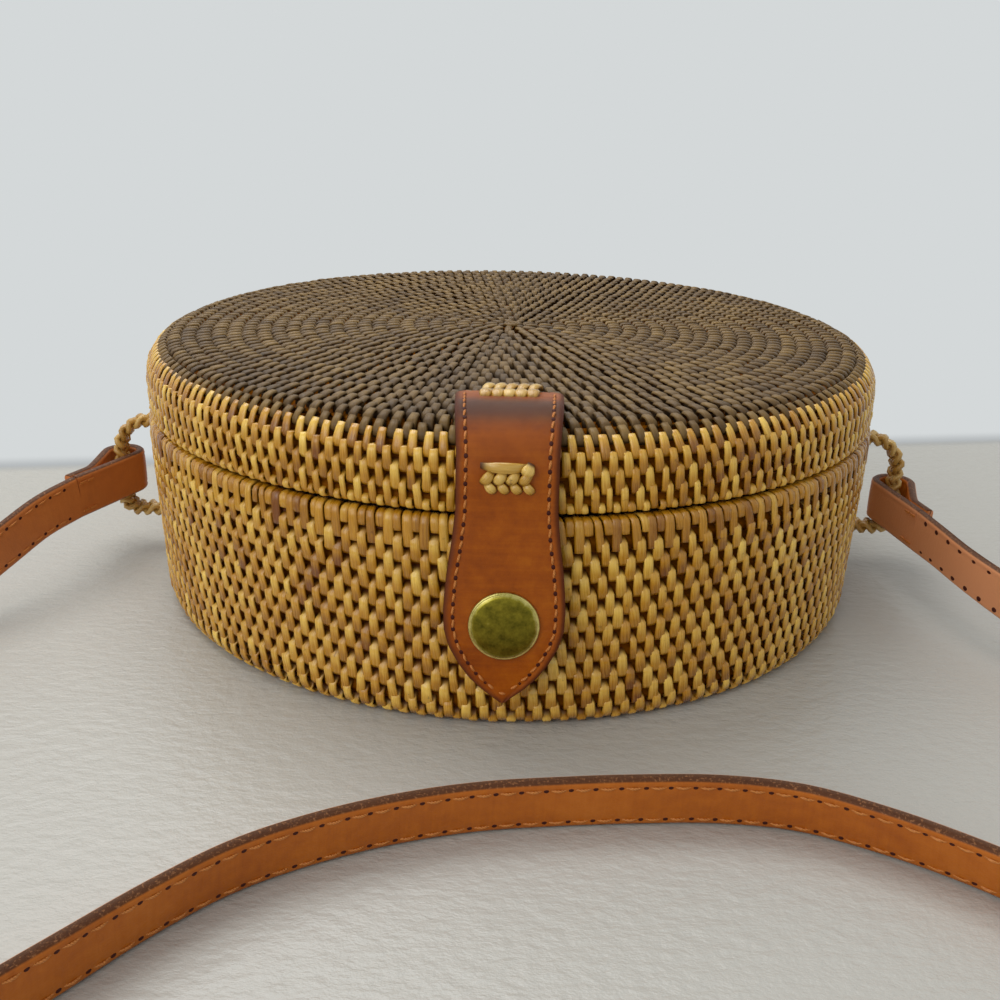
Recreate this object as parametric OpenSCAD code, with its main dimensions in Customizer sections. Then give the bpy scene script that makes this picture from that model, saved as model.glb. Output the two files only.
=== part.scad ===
// Round woven rattan box bag with a hinged lid, a leather snap tab and a leather shoulder strap.
// Millimetres. The origin is the centre of the base's underside, +Z is up, and the tab faces -Y.

/* [Bag] */
// Outer diameter of the lid's wall
lid_d = 200.8; // [180:0.2:240]
// How much the base's rim stands out past the lid's wall, on the radius
rim_out = 0.5; // [0:0.1:1.5]
// How much the base narrows from its rim to its foot, on the radius
foot_in = 1.5; // [0:0.1:5]
// Height of the base with its rim
base_h = 50.9; // [45:0.1:60]
// Height of the lid
lid_h = 18.8; // [16:0.1:30]
// Gap between the base's rim and the lid's lower edge
seam_gap = 0.3; // [0.2:0.1:1]
// Thickness of the woven floor and of the woven top
weave_t = 4.2; // [3:0.1:6]
// Thickness of the base's wall at its rim
base_wall_t = 4.7; // [4:0.1:7]
// Height of each bound rim hoop
hoop_h = 4.4; // [3:0.1:6]
// Rounding of each rim hoop's free edges
hoop_round = 1.8; // [0.5:0.1:1.8]
// Outer rounding where the base's wall meets its floor
foot_round = 4; // [2:0.5:6]
// Outer rounding where the lid's wall meets its top
lid_round = 9; // [6:0.5:12]
// Inner rounding of the same corner
lid_inner_round = 3; // [1:0.5:5]

/* [Lining and collar] */
// Thickness of the fabric lining
lining_t = 0.8; // [0.4:0.1:1.5]
// Gap between a piece and the seat that carries it
seat_gap = 0.2; // [0.1:0.05:0.4]
// Thickness of the inner collar
collar_t = 2.4; // [1.5:0.1:4]
// Depth of the collar below the base's rim
collar_down = 8; // [5:0.5:12]
// Rise of the collar above the base's rim
collar_up = 6; // [3:0.5:9]
// Radial clearance between the collar and the lid's lining
collar_gap = 0.6; // [0.4:0.1:1.5]

/* [Tab] */
// Thickness of the tab's outer leather
tab_t = 1.6; // [1:0.1:2.5]
// Thickness of the tab's backing leather
backing_t = 1.2; // [0.8:0.1:2]
// Gap between the tab and the woven wall behind it
tab_gap = 0.4; // [0.3:0.1:1]
// Width of the tab down the front of the lid
strip_w = 20.8; // [16:0.2:24]
// Width of the tab at its top end, on the lid
strip_end_w = 23.4; // [20:0.2:26]
// Length of the tab on the flat of the lid
strip_top_l = 13; // [13:0.2:24]
// Height of the flex line above the base's rim
flex_up = 3.1; // [2:0.1:3.5]
// Gap between the strip and the flap at the flex line
flex_gap = 0.3; // [0.2:0.05:0.6]
// Length of the flap from the flex line to its point
flap_l = 42.5; // [42:0.5:48]
// Widest width of the flap
flap_w = 25.5; // [22:0.5:30]

/* [Snap] */
// Distance from the snap's centre down to the flap's point
snap_tip = 17.7; // [16:0.1:20]
// Diameter of the snap's cap
cap_d = 15; // [12:0.5:17]
// Thickness of the cap at its edge
cap_edge_t = 0.8; // [0.5:0.1:1.2]
// Height of the cap's dome above its edge
cap_dome = 0.8; // [0.4:0.1:1.5]
// Diameter of the stud's head
stud_d = 5; // [4:0.1:5.4]
// Diameter of the stud's flange
stud_flange_d = 8.8; // [7:0.2:10]
// Thickness of the brass flanges
flange_t = 0.6; // [0.4:0.1:0.8]
// Clearance between the stud's head and the floor of the socket
stud_play = 0.55; // [0.4:0.05:0.8]
// Clearance round the stud's head in the socket
socket_play = 0.9; // [0.8:0.1:1.2]
// Wall of the socket
socket_wall = 1.2; // [0.8:0.1:1.5]
// Gap between the socket's mouth and the stud's flange
mouth_gap = 0.8; // [0.6:0.1:1]
// Diameter of the post through the wall
post_d = 3.2; // [2.4:0.1:3.6]
// Diameter of the leather washer behind the post
washer_d = 16; // [12:0.5:20]
// Thickness of the leather washer
washer_t = 1.2; // [0.8:0.1:2]
// Clearance round a stem, a post or a leg in its hole
hole_gap = 0.15; // [0.1:0.05:0.3]

/* [Lacing] */
// Width of the lacing at the tab's top end
lacing_top_w = 12.6; // [10:0.2:15]
// Length of the lacing at the tab's top end
lacing_top_l = 11; // [8:0.5:13]
// Width of the lacing on the lid's front
lacing_front_w = 11; // [9:0.2:14]
// Height of the lacing on the lid's front
lacing_front_l = 4.8; // [4:0.2:5.6]
// Height of a lacing above the leather
lacing_t = 2.2; // [1.5:0.1:3]
// Diameter of a lacing's legs
leg_d = 2.4; // [1.8:0.1:2.8]
// Depth of a lacing's legs in the weave
leg_in = 2.4; // [1.5:0.1:3]

/* [Hinges] */
// Diameter of the cane hinge pins
pin_d = 3; // [2.4:0.1:3.6]
// Radial clearance between a pin and the loops round it
pin_gap = 0.05; // [0.02:0.01:0.1]
// Thickness of the rattan round a pin
knuckle_t = 1.6; // [1.2:0.1:2]
// How far the loops nest forward of the bag's rearmost line
knuckle_nest = 0; // [-1:0.1:0.2]
// Width of one loop along the pin
knuckle_w = 5; // [4:0.2:7]
// Gap between neighbouring loops
knuckle_gap = 0.4; // [0.3:0.1:0.8]
// Length of pin that stands out past the outer loops
pin_out = 1; // [0.5:0.1:2]
// Distance between the middles of the two hinges
hinge_span = 50; // [40:1:70]

/* [Strap loops] */
// How far a strap loop stands out past the base's rim
loop_out = 17.1; // [15:0.1:24]
// Distance of a loop's upper face below the rim hoop
loop_drop = 5.5; // [4:0.5:8]
// Room on a loop's bar above and below the strap
bar_play = 1.4; // [1:0.1:3]
// Thickness of the braid, seen from the front
braid_t = 4.5; // [3.5:0.1:5]
// Width of the braid, front to back
braid_w = 6.5; // [5.5:0.1:7]
// Bend radius of a loop's upper corner, on its middle line
loop_round_top = 9; // [6:0.5:11]
// Bend radius of a loop's lower corner, on its middle line
loop_round_bottom = 4; // [3:0.5:5]
// Diameter of the loop's ends where they enter the wall
root_d = 3.6; // [3:0.1:4]
// Depth of the loop's ends in the wall
root_in = 2.4; // [1.5:0.1:3]

/* [Strap] */
// Width of the leather strap
strap_w = 12.2; // [11:0.1:12.4]
// Thickness of the leather strap
strap_t = 2.6; // [2:0.1:3]
// Clearance between a folded end and the braid inside it
fold_gap = 0.45; // [0.4:0.05:0.8]
// Distance from the braid to where the folded layers meet
fold_close = 16; // [14:0.5:18]
// Length of a folded end, from the braid to the end of its tail
fold_l = 24; // [22:0.5:26]

/* [Stitching] */
// Distance of a stitch row from the leather's edge
stitch_in = 2; // [1.5:0.1:3]
// Distance from one stitch to the next
stitch_pitch = 2.9; // [2.5:0.1:4]
// Length of a stitch that shows
stitch_l = 2.1; // [1.5:0.1:2.4]
// Width of the thread
thread_w = 0.6; // [0.4:0.1:0.8]
// Height of the thread above the leather
thread_t = 0.35; // [0.2:0.05:0.5]

/* [Hidden] */

// Colours
rattan = [0.63, 0.47, 0.22];
rattan_dark = [0.24, 0.17, 0.10];
leather = [0.60, 0.32, 0.13];
leather_back = [0.50, 0.26, 0.13];
brass = [0.50, 0.46, 0.24];
thread = [0.78, 0.50, 0.22];
fabric = [0.74, 0.66, 0.52];

// Facets of the big turned pieces and of the small ones
$fn = 120;
small_fn = 48;
// How far a cut runs past the face that it leaves
overrun = 1;

// Walls, rims and heights
lid_r = lid_d / 2;
rim_r = lid_r + rim_out;
foot_r = rim_r - foot_in;
cavity_r = rim_r - base_wall_t;
wall_top = base_h - hoop_h;
lining_r = cavity_r - seat_gap;
collar_r = lining_r - lining_t - seat_gap;
lid_lining_r = collar_r + collar_gap;
lid_cavity_r = lid_lining_r + lining_t + seat_gap;
lid_z = base_h + seam_gap;
lid_wall_z = lid_z + hoop_h;
bag_h = lid_z + lid_h;
lid_ceiling = bag_h - weave_t;

// Radius of the base's wall at a height
function wall_r(z) = foot_r + (rim_r - foot_r) * z / wall_top;

// The tab bends round the lid's corner about this line
tab_total_t = tab_t + backing_t;
bend_y = lid_round - lid_r;
bend_z = bag_h - lid_round;
strip_in_r = lid_round + tab_gap;
strip_mid_r = strip_in_r + backing_t;
strip_out_r = strip_mid_r + tab_t;
strip_end_y = bend_y + strip_top_l;

// The flap turns about the leather's outer face at the flex line, and hangs clear of the rim
flex_z = base_h + flex_up;
flex_y = bend_y - strip_out_r;
flap_tilt = atan2(rim_out, flex_z - base_h + hoop_h / 2);
// The flap's outline: distance down the flap and half width, as shares of its length and half width
flap_shares = [[0, 0.82], [0.07, 0.84], [0.18, 0.88], [0.3, 0.94], [0.42, 0.98], [0.52, 1],
    [0.62, 0.985], [0.71, 0.9], [0.8, 0.74], [0.88, 0.54], [0.94, 0.33], [0.98, 0.15], [1, 0.04]];

// The snap's own places, down the flap and behind its outer face
snap_drop = flap_l - snap_tip;
stud_r = stud_d / 2;
socket_r = stud_r + socket_play;
socket_out_r = socket_r + socket_wall;
mouth_z = flex_z - snap_drop * cos(flap_tilt) - tab_total_t * sin(flap_tilt);
stud_seat_y = -wall_r(mouth_z) - seat_gap;
flap_back_y = flex_y - snap_drop * sin(flap_tilt) + tab_total_t * cos(flap_tilt);
socket_h = stud_seat_y - flange_t - mouth_gap - flap_back_y;
stud_h = mouth_gap + socket_h + backing_t - flange_t / 2 - stud_play;
stem_r = stud_r - flange_t / 2;
cap_r = cap_d / 2;
dome_r = (cap_r * cap_r + cap_dome * cap_dome) / (2 * cap_dome);
washer_y = -sqrt(pow(lining_r - lining_t, 2) - pow(washer_d / 2, 2)) + seat_gap;

// Hinges
pin_r = pin_d / 2;
knuckle_in_r = pin_r + pin_gap;
knuckle_r = knuckle_in_r + knuckle_t;
hinge_y = rim_r + knuckle_r - knuckle_nest;
hinge_z = base_h + seam_gap / 2;
knuckle_step = knuckle_w + knuckle_gap;

// Strap loops and the strap's folded ends
bar_x = rim_r + loop_out - braid_t / 2;
loop_top_z = wall_top - loop_drop - braid_t / 2;
top_bend_z = loop_top_z - loop_round_top;
bottom_bend_z = top_bend_z - strap_w - 2 * bar_play;
loop_bottom_z = bottom_bend_z - loop_round_bottom;
fold_r = braid_w / 2 + fold_gap;
strap_line = fold_r + strap_t / 2;
fold_half = atan2(fold_r, fold_close);
// How far each folded end sits above the middle of its bar
left_fold_up = 0.75;
right_fold_up = -2.75;
left_fold_z = (bottom_bend_z + top_bend_z) / 2 + left_fold_up;
right_fold_z = (bottom_bend_z + top_bend_z) / 2 + right_fold_up;
left_fold_turn = 246;
right_fold_turn = 281;
left_bar = [-bar_x, 0, left_fold_z];
right_bar = [bar_x, 0, right_fold_z];

// The strap's route between its folded ends: X, Y, Z of its middle and its lean towards the front
strap_route = [
    [-126.5, -35.5, 21.5, 0], [-132.5, -47, 17.5, 0], [-140, -59.5, 12.5, 0], [-149, -73, 9, 0],
    [-159.5, -87.5, 6.8, 0], [-170.5, -103, 6.3, 0], [-181.5, -119.5, 6.3, 0],
    [-191, -137, 6.3, 0], [-198, -155.5, 6.3, 0], [-201.5, -175, 6.3, 0],
    [-200.5, -195, 6.3, 0], [-194.5, -214, 6.3, 0], [-183, -230.5, 6.3, 0],
    [-167, -242, 6.3, 0], [-148.5, -246.5, 6.3, 0], [-130, -243, 6.3, 0],
    [-114, -232.5, 6.3, 2], [-101, -219, 6.3, 4], [-89.5, -204.5, 6.3, 6],
    [-78.5, -190.5, 6.3, 8], [-67.5, -177, 6.3, 10], [-57, -164.5, 6.3, 12],
    [-46, -154, 6.3, 12], [-33, -146, 6.3, 12], [-19, -140, 6.3, 12], [-4, -135.8, 6.3, 12],
    [12, -133.5, 6.3, 12], [28, -132, 6.3, 12], [43, -131.5, 6.3, 13], [58, -133.5, 6.3, 15],
    [72, -139.6, 6.3, 17], [84.5, -147.2, 6.3, 19], [96.5, -156.4, 6.3, 18],
    [109, -166, 6.3, 15], [122, -175, 6.3, 11], [135.5, -184, 6.3, 7], [149.5, -192, 6.3, 3],
    [165, -196.5, 6.3, 0], [181, -194, 6.3, 0], [194, -184.5, 6.3, 0], [202, -170.5, 6.3, 0],
    [204, -154, 6.3, 0], [200.5, -137.5, 6.3, 0], [193, -122.5, 6.3, 0], [182.5, -109, 6.3, 0],
    [170, -97.5, 6.6, 0], [156.5, -87.5, 8, 0], [144, -77.5, 10.2, 0], [134, -67, 12.8, 0],
    [126.5, -55.5, 15.4, -4], [121.2, -45, 17.5, -6], [117.8, -34.8, 19, -4]];

// Woven shells, rims, collar and linings

module base_outline() {
    polygon([[0, 0], [foot_r - foot_round, 0], [foot_r, foot_round], [rim_r, wall_top],
        [0, wall_top]]);
    translate([foot_r - foot_round, foot_round]) circle(foot_round, $fn = small_fn);
}

module base_shell() {
    color(rattan) difference() {
        rotate_extrude() intersection() {
            base_outline();
            square([rim_r, wall_top]);
        }
        translate([0, 0, weave_t]) cylinder(r = cavity_r, h = wall_top);
        translate([0, 0, mouth_z]) rotate([90, 0, 0])
            cylinder(d = post_d + 2 * hole_gap, h = rim_r + overrun, $fn = small_fn);
        for (side = [-1, 1]) loop_root_holes(side);
    }
}

// A turned rim band, with its free edge rounded. A thin band has less rounding.
hoop_round_share = 0.475;

module hoop(inner_r, outer_r) {
    edge_r = min(hoop_round, hoop_round_share * (outer_r - inner_r));
    rotate_extrude() {
        translate([inner_r, 0]) square([outer_r - inner_r, hoop_h - edge_r]);
        translate([inner_r + edge_r, 0]) square([outer_r - inner_r - 2 * edge_r, hoop_h]);
        for (r = [inner_r + edge_r, outer_r - edge_r])
            translate([r, hoop_h - edge_r]) circle(edge_r, $fn = small_fn);
    }
}

module base_rim_hoop() {
    color(rattan) translate([0, 0, wall_top]) hoop(cavity_r, rim_r);
}

// A plain upright ring
module band(outer_r, t, h) {
    difference() {
        cylinder(r = outer_r, h = h);
        translate([0, 0, -overrun]) cylinder(r = outer_r - t, h = h + 2 * overrun);
    }
}

module base_collar() {
    color(rattan_dark) translate([0, 0, base_h - collar_down])
        band(collar_r, collar_t, collar_down + collar_up);
}

module base_floor_lining() {
    color(fabric) translate([0, 0, weave_t])
        cylinder(r = lining_r - lining_t - seat_gap, h = lining_t);
}

module base_wall_lining() {
    color(fabric) difference() {
        translate([0, 0, weave_t]) band(lining_r, lining_t, wall_top - weave_t);
        translate([0, 0, mouth_z]) rotate([90, 0, 0])
            cylinder(d = post_d + 2 * hole_gap, h = rim_r, $fn = small_fn);
    }
}

module lid_outline() {
    difference() {
        union() {
            translate([0, lid_wall_z]) square([lid_r, bag_h - lid_wall_z - lid_round]);
            translate([0, lid_wall_z]) square([lid_r - lid_round, bag_h - lid_wall_z]);
            translate([lid_r - lid_round, bend_z]) circle(lid_round);
        }
        translate([0, lid_wall_z - overrun])
            square([lid_cavity_r, lid_ceiling - lid_inner_round - lid_wall_z + overrun]);
        translate([0, lid_wall_z - overrun])
            square([lid_cavity_r - lid_inner_round, lid_ceiling - lid_wall_z + overrun]);
        translate([lid_cavity_r - lid_inner_round, lid_ceiling - lid_inner_round])
            circle(lid_inner_round, $fn = small_fn);
    }
}

module lid_shell() {
    color(rattan) difference() {
        rotate_extrude() intersection() {
            lid_outline();
            translate([0, lid_wall_z]) square([lid_r, bag_h]);
        }
        lacing_top_legs(hole_gap);
        lacing_front_legs(hole_gap);
    }
}

module lid_rim_hoop() {
    color(rattan) translate([0, 0, lid_wall_z]) mirror([0, 0, 1]) hoop(lid_cavity_r, lid_r);
}

module lid_top_lining() {
    color(fabric) translate([0, 0, lid_ceiling - lining_t])
        cylinder(r = lid_cavity_r - lid_inner_round, h = lining_t);
}

module lid_wall_lining() {
    color(fabric) translate([0, 0, lid_wall_z - hoop_round])
        band(lid_cavity_r - seat_gap, lining_t,
            lid_ceiling - lid_inner_round - lid_wall_z + hoop_round);
}

// Tab: the strip laced to the lid

// Side view of one layer of the strip, between two radii of its bend
module strip_side(in_r, out_r) {
    translate([bend_y, bend_z]) {
        translate([0, in_r]) square([strip_top_l, out_r - in_r]);
        translate([-out_r, flex_z + flex_gap - bend_z])
            square([out_r - in_r, bend_z - flex_z - flex_gap]);
        intersection() {
            difference() {
                circle(out_r, $fn = small_fn * 2);
                circle(in_r, $fn = small_fn * 2);
            }
            translate([-out_r - overrun, 0]) square(out_r + overrun);
        }
    }
}

// Seen from above, the strip widens towards its end on the lid
module strip_plan() {
    half = strip_w / 2;
    end_half = strip_end_w / 2;
    front = flex_y - overrun;
    polygon([[-half, front], [half, front], [half, bend_y], [end_half, bend_y + lid_round],
        [end_half, strip_end_y + overrun], [-end_half, strip_end_y + overrun],
        [-end_half, bend_y + lid_round], [-half, bend_y]]);
}

module strip_layer(in_r, out_r) {
    difference() {
        intersection() {
            translate([strip_end_w / 2, 0, 0]) rotate([90, 0, -90])
                linear_extrude(strip_end_w) mirror([1, 0]) strip_side(in_r, out_r);
            linear_extrude(bag_h + lid_round) strip_plan();
        }
        lacing_top_legs(hole_gap);
        lacing_front_legs(hole_gap);
    }
}

module tab_strip() {
    color(leather) strip_layer(strip_mid_r, strip_out_r);
}

module tab_strip_backing() {
    color(leather_back) strip_layer(strip_in_r, strip_mid_r);
}

// Lacings: a braid over the leather, and legs that hold it in the weave. The top one lies half
// over the tab's end, so two of its four legs pass behind the leather.
lacing_top_y = strip_end_y;
lacing_front_z = bend_z - leg_d / 2;
lacing_top_z = bend_z + strip_out_r;
lacing_front_y = bend_y - strip_out_r;

module lacing_braid(w, l) {
    translate([-w / 2, -l / 2, 0]) cube([w, l, lacing_t / 2]);
    translate([lacing_t / 2 - w / 2, -l / 2, 0]) cube([w - lacing_t, l, lacing_t]);
    for (x = [lacing_t / 2 - w / 2, w / 2 - lacing_t / 2])
        translate([x, l / 2, lacing_t / 2]) rotate([90, 0, 0])
            cylinder(d = lacing_t, h = l, $fn = small_fn);
}

module lacing_top_legs(gap) {
    reach = tab_total_t + tab_gap + leg_in;
    for (x = [-1, 1]) for (y = [-1, 1]) translate([x * (lacing_top_w - leg_d - lacing_t) / 2,
        lacing_top_y + y * (lacing_top_l - leg_d - lacing_t) / 2, lacing_top_z - reach - gap])
        cylinder(d = leg_d + 2 * gap, h = reach + 2 * gap, $fn = small_fn);
}

module lacing_front_legs(gap) {
    reach = tab_total_t + tab_gap + leg_in;
    for (x = [-1, 1]) translate([x * (lacing_front_w - leg_d - lacing_t) / 2,
        lacing_front_y + reach + gap, lacing_front_z]) rotate([90, 0, 0])
        cylinder(d = leg_d + 2 * gap, h = reach + 2 * gap, $fn = small_fn);
}

module tab_lacing_top() {
    color(rattan) {
        translate([0, lacing_top_y, lacing_top_z]) lacing_braid(lacing_top_w, lacing_top_l);
        lacing_top_legs(0);
    }
}

module tab_lacing_front() {
    color(rattan) {
        translate([0, lacing_front_y, lacing_front_z]) rotate([90, 0, 0])
            lacing_braid(lacing_front_w, lacing_front_l);
        lacing_front_legs(0);
    }
}

// A stitch lies on the face z = 0, along its own Y
module stitch() {
    translate([-thread_w / 2, -stitch_l / 2, 0]) cube([thread_w, stitch_l, thread_t]);
}

module tab_strip_stitching() {
    inset = strip_w / 2 - stitch_in;
    top_count = floor((strip_top_l - stitch_in) / stitch_pitch);
    front_l = bend_z - flex_z - flex_gap;
    bend_count = floor(strip_out_r * PI / 2 / stitch_pitch);
    color(thread) for (x = [-inset, inset]) {
        for (i = [0 : top_count - 1])
            translate([x, bend_y + (i + 1 / 2) * stitch_pitch, lacing_top_z]) stitch();
        for (i = [0 : bend_count - 1]) translate([x, bend_y, bend_z])
            rotate([(i + 1 / 2) * 90 / bend_count, 0, 0]) translate([0, 0, strip_out_r]) stitch();
        for (i = [0 : floor(front_l / stitch_pitch) - 1])
            translate([x, lacing_front_y, bend_z - (i + 1 / 2) * stitch_pitch])
                rotate([90, 0, 0]) stitch();
    }
}

// Tab: the flap, drawn flat with its outer face on z = 0 and its point towards -Y

module at_flap() {
    translate([0, flex_y, flex_z]) rotate([90 - flap_tilt, 0, 0]) children();
}

function flap_half(share) = lookup(share, flap_shares) * flap_w / 2;

module flap_plan() {
    right = [for (s = flap_shares) [s[1] * flap_w / 2, -s[0] * flap_l]];
    left = [for (i = [len(right) - 1 : -1 : 0]) [-right[i][0], right[i][1]]];
    polygon(concat(right, left));
}

module flap_layer(front, t, hole_r) {
    at_flap() difference() {
        translate([0, 0, -front - t]) linear_extrude(t) flap_plan();
        translate([0, -snap_drop, -front - t - overrun])
            cylinder(r = hole_r + hole_gap, h = t + 2 * overrun, $fn = small_fn);
    }
}

module tab_flap() {
    color(leather) flap_layer(0, tab_t, stem_r);
}

module tab_flap_backing() {
    color(leather_back) flap_layer(tab_t, backing_t, socket_out_r);
}

// The rows follow the outline down both sides, and turn with it
module tab_flap_stitching() {
    count = floor((flap_l - 2 * stitch_in) / stitch_pitch);
    color(thread) at_flap() for (side = [-1, 1]) for (i = [0 : count - 1]) {
        down = (i + 1 / 2) * stitch_pitch;
        half = flap_half(down / flap_l) - stitch_in;
        next = flap_half((down + stitch_l / 2) / flap_l) - stitch_in;
        turn = atan2(half - next, stitch_l / 2);
        if (half > thread_w)
            translate([side * half, -down, 0]) rotate([0, 0, -side * turn]) stitch();
    }
}

// Snap

module snap_cap() {
    color(brass) at_flap() translate([0, -snap_drop, 0]) {
        intersection() {
            cylinder(r = cap_r, h = cap_edge_t + cap_dome, $fn = small_fn);
            translate([0, 0, cap_edge_t + cap_dome - dome_r]) sphere(dome_r);
        }
        translate([0, 0, -tab_t]) cylinder(r = stem_r, h = tab_t + cap_edge_t / 2, $fn = small_fn);
    }
}

module snap_socket() {
    color(brass) at_flap() translate([0, -snap_drop, -tab_total_t - socket_h]) difference() {
        cylinder(r = socket_out_r, h = socket_h + backing_t, $fn = small_fn);
        translate([0, 0, -overrun])
            cylinder(r = socket_r, h = socket_h + backing_t + overrun - flange_t / 2,
                $fn = small_fn);
    }
}

module snap_stud() {
    color(brass) translate([0, stud_seat_y, mouth_z]) rotate([90, 0, 0]) difference() {
        union() {
            cylinder(d = stud_flange_d, h = flange_t, $fn = small_fn);
            cylinder(r = stud_r, h = flange_t + stud_h, $fn = small_fn);
        }
        translate([0, 0, -overrun]) cylinder(d = post_d + 2 * hole_gap,
            h = flange_t + stud_h / 2 + overrun, $fn = small_fn);
    }
}

module stud_washer() {
    color(leather_back) translate([0, washer_y + washer_t, mouth_z]) rotate([90, 0, 0])
        difference() {
            cylinder(d = washer_d, h = washer_t, $fn = small_fn);
            translate([0, 0, -overrun]) cylinder(d = post_d + 2 * hole_gap,
                h = washer_t + 2 * overrun, $fn = small_fn);
        }
}

module snap_post() {
    back_y = washer_y + washer_t;
    color(brass) translate([0, back_y + flange_t, mouth_z]) rotate([90, 0, 0]) {
        cylinder(d = stud_flange_d, h = flange_t, $fn = small_fn);
        cylinder(d = post_d, h = back_y + 2 * flange_t - stud_seat_y + stud_h / 2 - seat_gap,
            $fn = small_fn);
    }
}

// Hinges: two loops on the base and one on the lid turn on a cane pin

module knuckle(x, up, back_r) {
    lug_h = knuckle_r - seam_gap;
    difference() {
        union() {
            translate([x - knuckle_w / 2, hinge_y, hinge_z]) rotate([0, 90, 0])
                cylinder(r = knuckle_r, h = knuckle_w, $fn = small_fn);
            translate([x - knuckle_w / 2, 0, hinge_z + (up ? seam_gap : -knuckle_r)])
                cube([knuckle_w, hinge_y, lug_h]);
        }
        cylinder(r = back_r + seat_gap, h = bag_h);
        translate([x - knuckle_w, hinge_y, hinge_z]) rotate([0, 90, 0])
            cylinder(r = knuckle_in_r, h = 2 * knuckle_w, $fn = small_fn);
    }
}

module hinge_base_loops(side) {
    color(rattan) for (x = [-knuckle_step, knuckle_step])
        knuckle(side * hinge_span / 2 + x, false, rim_r);
}

module hinge_lid_loop(side) {
    color(rattan) knuckle(side * hinge_span / 2, true, lid_r);
}

module hinge_pin(side) {
    pin_l = 2 * knuckle_step + knuckle_w + 2 * pin_out;
    color(rattan_dark) translate([side * hinge_span / 2 - pin_l / 2, hinge_y, hinge_z])
        rotate([0, 90, 0]) cylinder(r = pin_r, h = pin_l, $fn = small_fn);
}

module left_hinge_base_loops() { hinge_base_loops(-1); }
module right_hinge_base_loops() { hinge_base_loops(1); }
module left_hinge_lid_loop() { hinge_lid_loop(-1); }
module right_hinge_lid_loop() { hinge_lid_loop(1); }
module left_hinge_pin() { hinge_pin(-1); }
module right_hinge_pin() { hinge_pin(1); }

// Strap loops: a braid that stands out from the wall as a D, with its ends in the weave

module braid_section() {
    square([braid_t, braid_w - braid_t], center = true);
    for (y = [-1, 1]) translate([0, y * (braid_w - braid_t) / 2])
        circle(braid_t / 2, $fn = small_fn);
}

// A straight stretch of braid from the wall out to a bend
module braid_arm(z, round_r) {
    start = wall_r(z) + seat_gap;
    translate([start, 0, z]) rotate([0, 90, 0])
        linear_extrude(bar_x - round_r - start) braid_section();
    translate([start - root_in, 0, z]) rotate([0, 90, 0])
        cylinder(d = root_d, h = root_in + overrun, $fn = small_fn);
}

module braid_bend(z, round_r, from) {
    translate([bar_x - round_r, 0, z]) rotate([90, 0, 0])
        rotate([0, 0, from]) rotate_extrude(angle = 90) translate([round_r, 0]) braid_section();
}

module strap_loop(side) {
    color(rattan) mirror([side < 0 ? 1 : 0, 0, 0]) {
        braid_arm(loop_top_z, loop_round_top);
        braid_arm(loop_bottom_z, loop_round_bottom);
        braid_bend(top_bend_z, loop_round_top, 0);
        braid_bend(bottom_bend_z, loop_round_bottom, 270);
        translate([bar_x, 0, bottom_bend_z]) linear_extrude(top_bend_z - bottom_bend_z)
            braid_section();
    }
}

module loop_root_holes(side) {
    for (z = [loop_bottom_z, loop_top_z])
        translate([side * (wall_r(z) - root_in), 0, z]) rotate([0, side * 90, 0])
            cylinder(d = root_d + 2 * hole_gap, h = root_in + overrun, $fn = small_fn);
}

module left_strap_loop() { strap_loop(-1); }
module right_strap_loop() { strap_loop(1); }

// Folded strap ends, seen from above: the braid at the origin, the strap towards +X, and the layer
// that runs on into the strap on the side of +Y
module fold_plan() {
    turn = 2 * fold_half - 90;
    out_r = fold_r + strap_t;
    inner_touch = fold_r * [cos(turn), sin(turn)];
    outer_touch = out_r * [cos(turn), sin(turn)];
    tail_y = fold_r - strap_t;
    tail_x = outer_touch[0] + (tail_y - outer_touch[1]) / tan(turn + 90);
    difference() {
        union() {
            circle(out_r, $fn = small_fn);
            polygon([[0, 0], outer_touch, [tail_x, tail_y], [fold_l, tail_y], [fold_l, out_r],
                [0, out_r]]);
        }
        circle(fold_r, $fn = small_fn);
        polygon([[0, 0], inner_touch, [fold_close, fold_r], [0, fold_r]]);
    }
}

module strap_end(bar, turn, side) {
    translate(bar) rotate([0, 0, turn]) mirror([0, side < 0 ? 0 : 1, 0])
        translate([0, 0, -strap_w / 2]) linear_extrude(strap_w) fold_plan();
}

module left_strap_end() {
    color(leather) strap_end(left_bar, left_fold_turn, -1);
}

module right_strap_end() {
    color(leather) strap_end(right_bar, right_fold_turn, 1);
}

// Two rows of stitches hold each tail against the strap
module end_stitches(bar, turn, side) {
    count = floor((fold_l - fold_close) / stitch_pitch);
    translate(bar) rotate([0, 0, turn]) mirror([0, side < 0 ? 0 : 1, 0])
        for (z = [-1, 1]) for (i = [0 : count - 1])
            translate([fold_l - (i + 1 / 2) * stitch_pitch, fold_r + strap_t,
                z * (strap_w / 2 - stitch_in)])
                rotate([-90, 0, 0]) rotate([0, 0, 90]) stitch();
}

module strap_end_stitching() {
    color(thread) {
        end_stitches(left_bar, left_fold_turn, -1);
        end_stitches(right_bar, right_fold_turn, 1);
    }
}

// The strap is swept along its route, standing on its edge

// A place on a folded end's running layer, at a distance from the braid
function fold_point(bar, turn, side, along) = bar
    + along * [cos(turn), sin(turn), 0] + side * strap_line * [sin(turn), -cos(turn), 0];

left_start = fold_point(left_bar, left_fold_turn, -1, fold_l);
right_start = fold_point(right_bar, right_fold_turn, 1, fold_l);

route = concat([[each left_start, 0]], strap_route, [[each right_start, 0]]);
function at(i) = route[max(0, min(len(route) - 1, i))];
// Direction of the route at a point, square to the folded end at both ends
function along(i) =
    i <= 0 ? [cos(left_fold_turn), sin(left_fold_turn), 0]
    : i >= len(route) - 1 ? -[cos(right_fold_turn), sin(right_fold_turn), 0]
    : let(step = at(i + 1) - at(i - 1), run = [step[0], step[1], step[2]]) run / norm(run);
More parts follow.
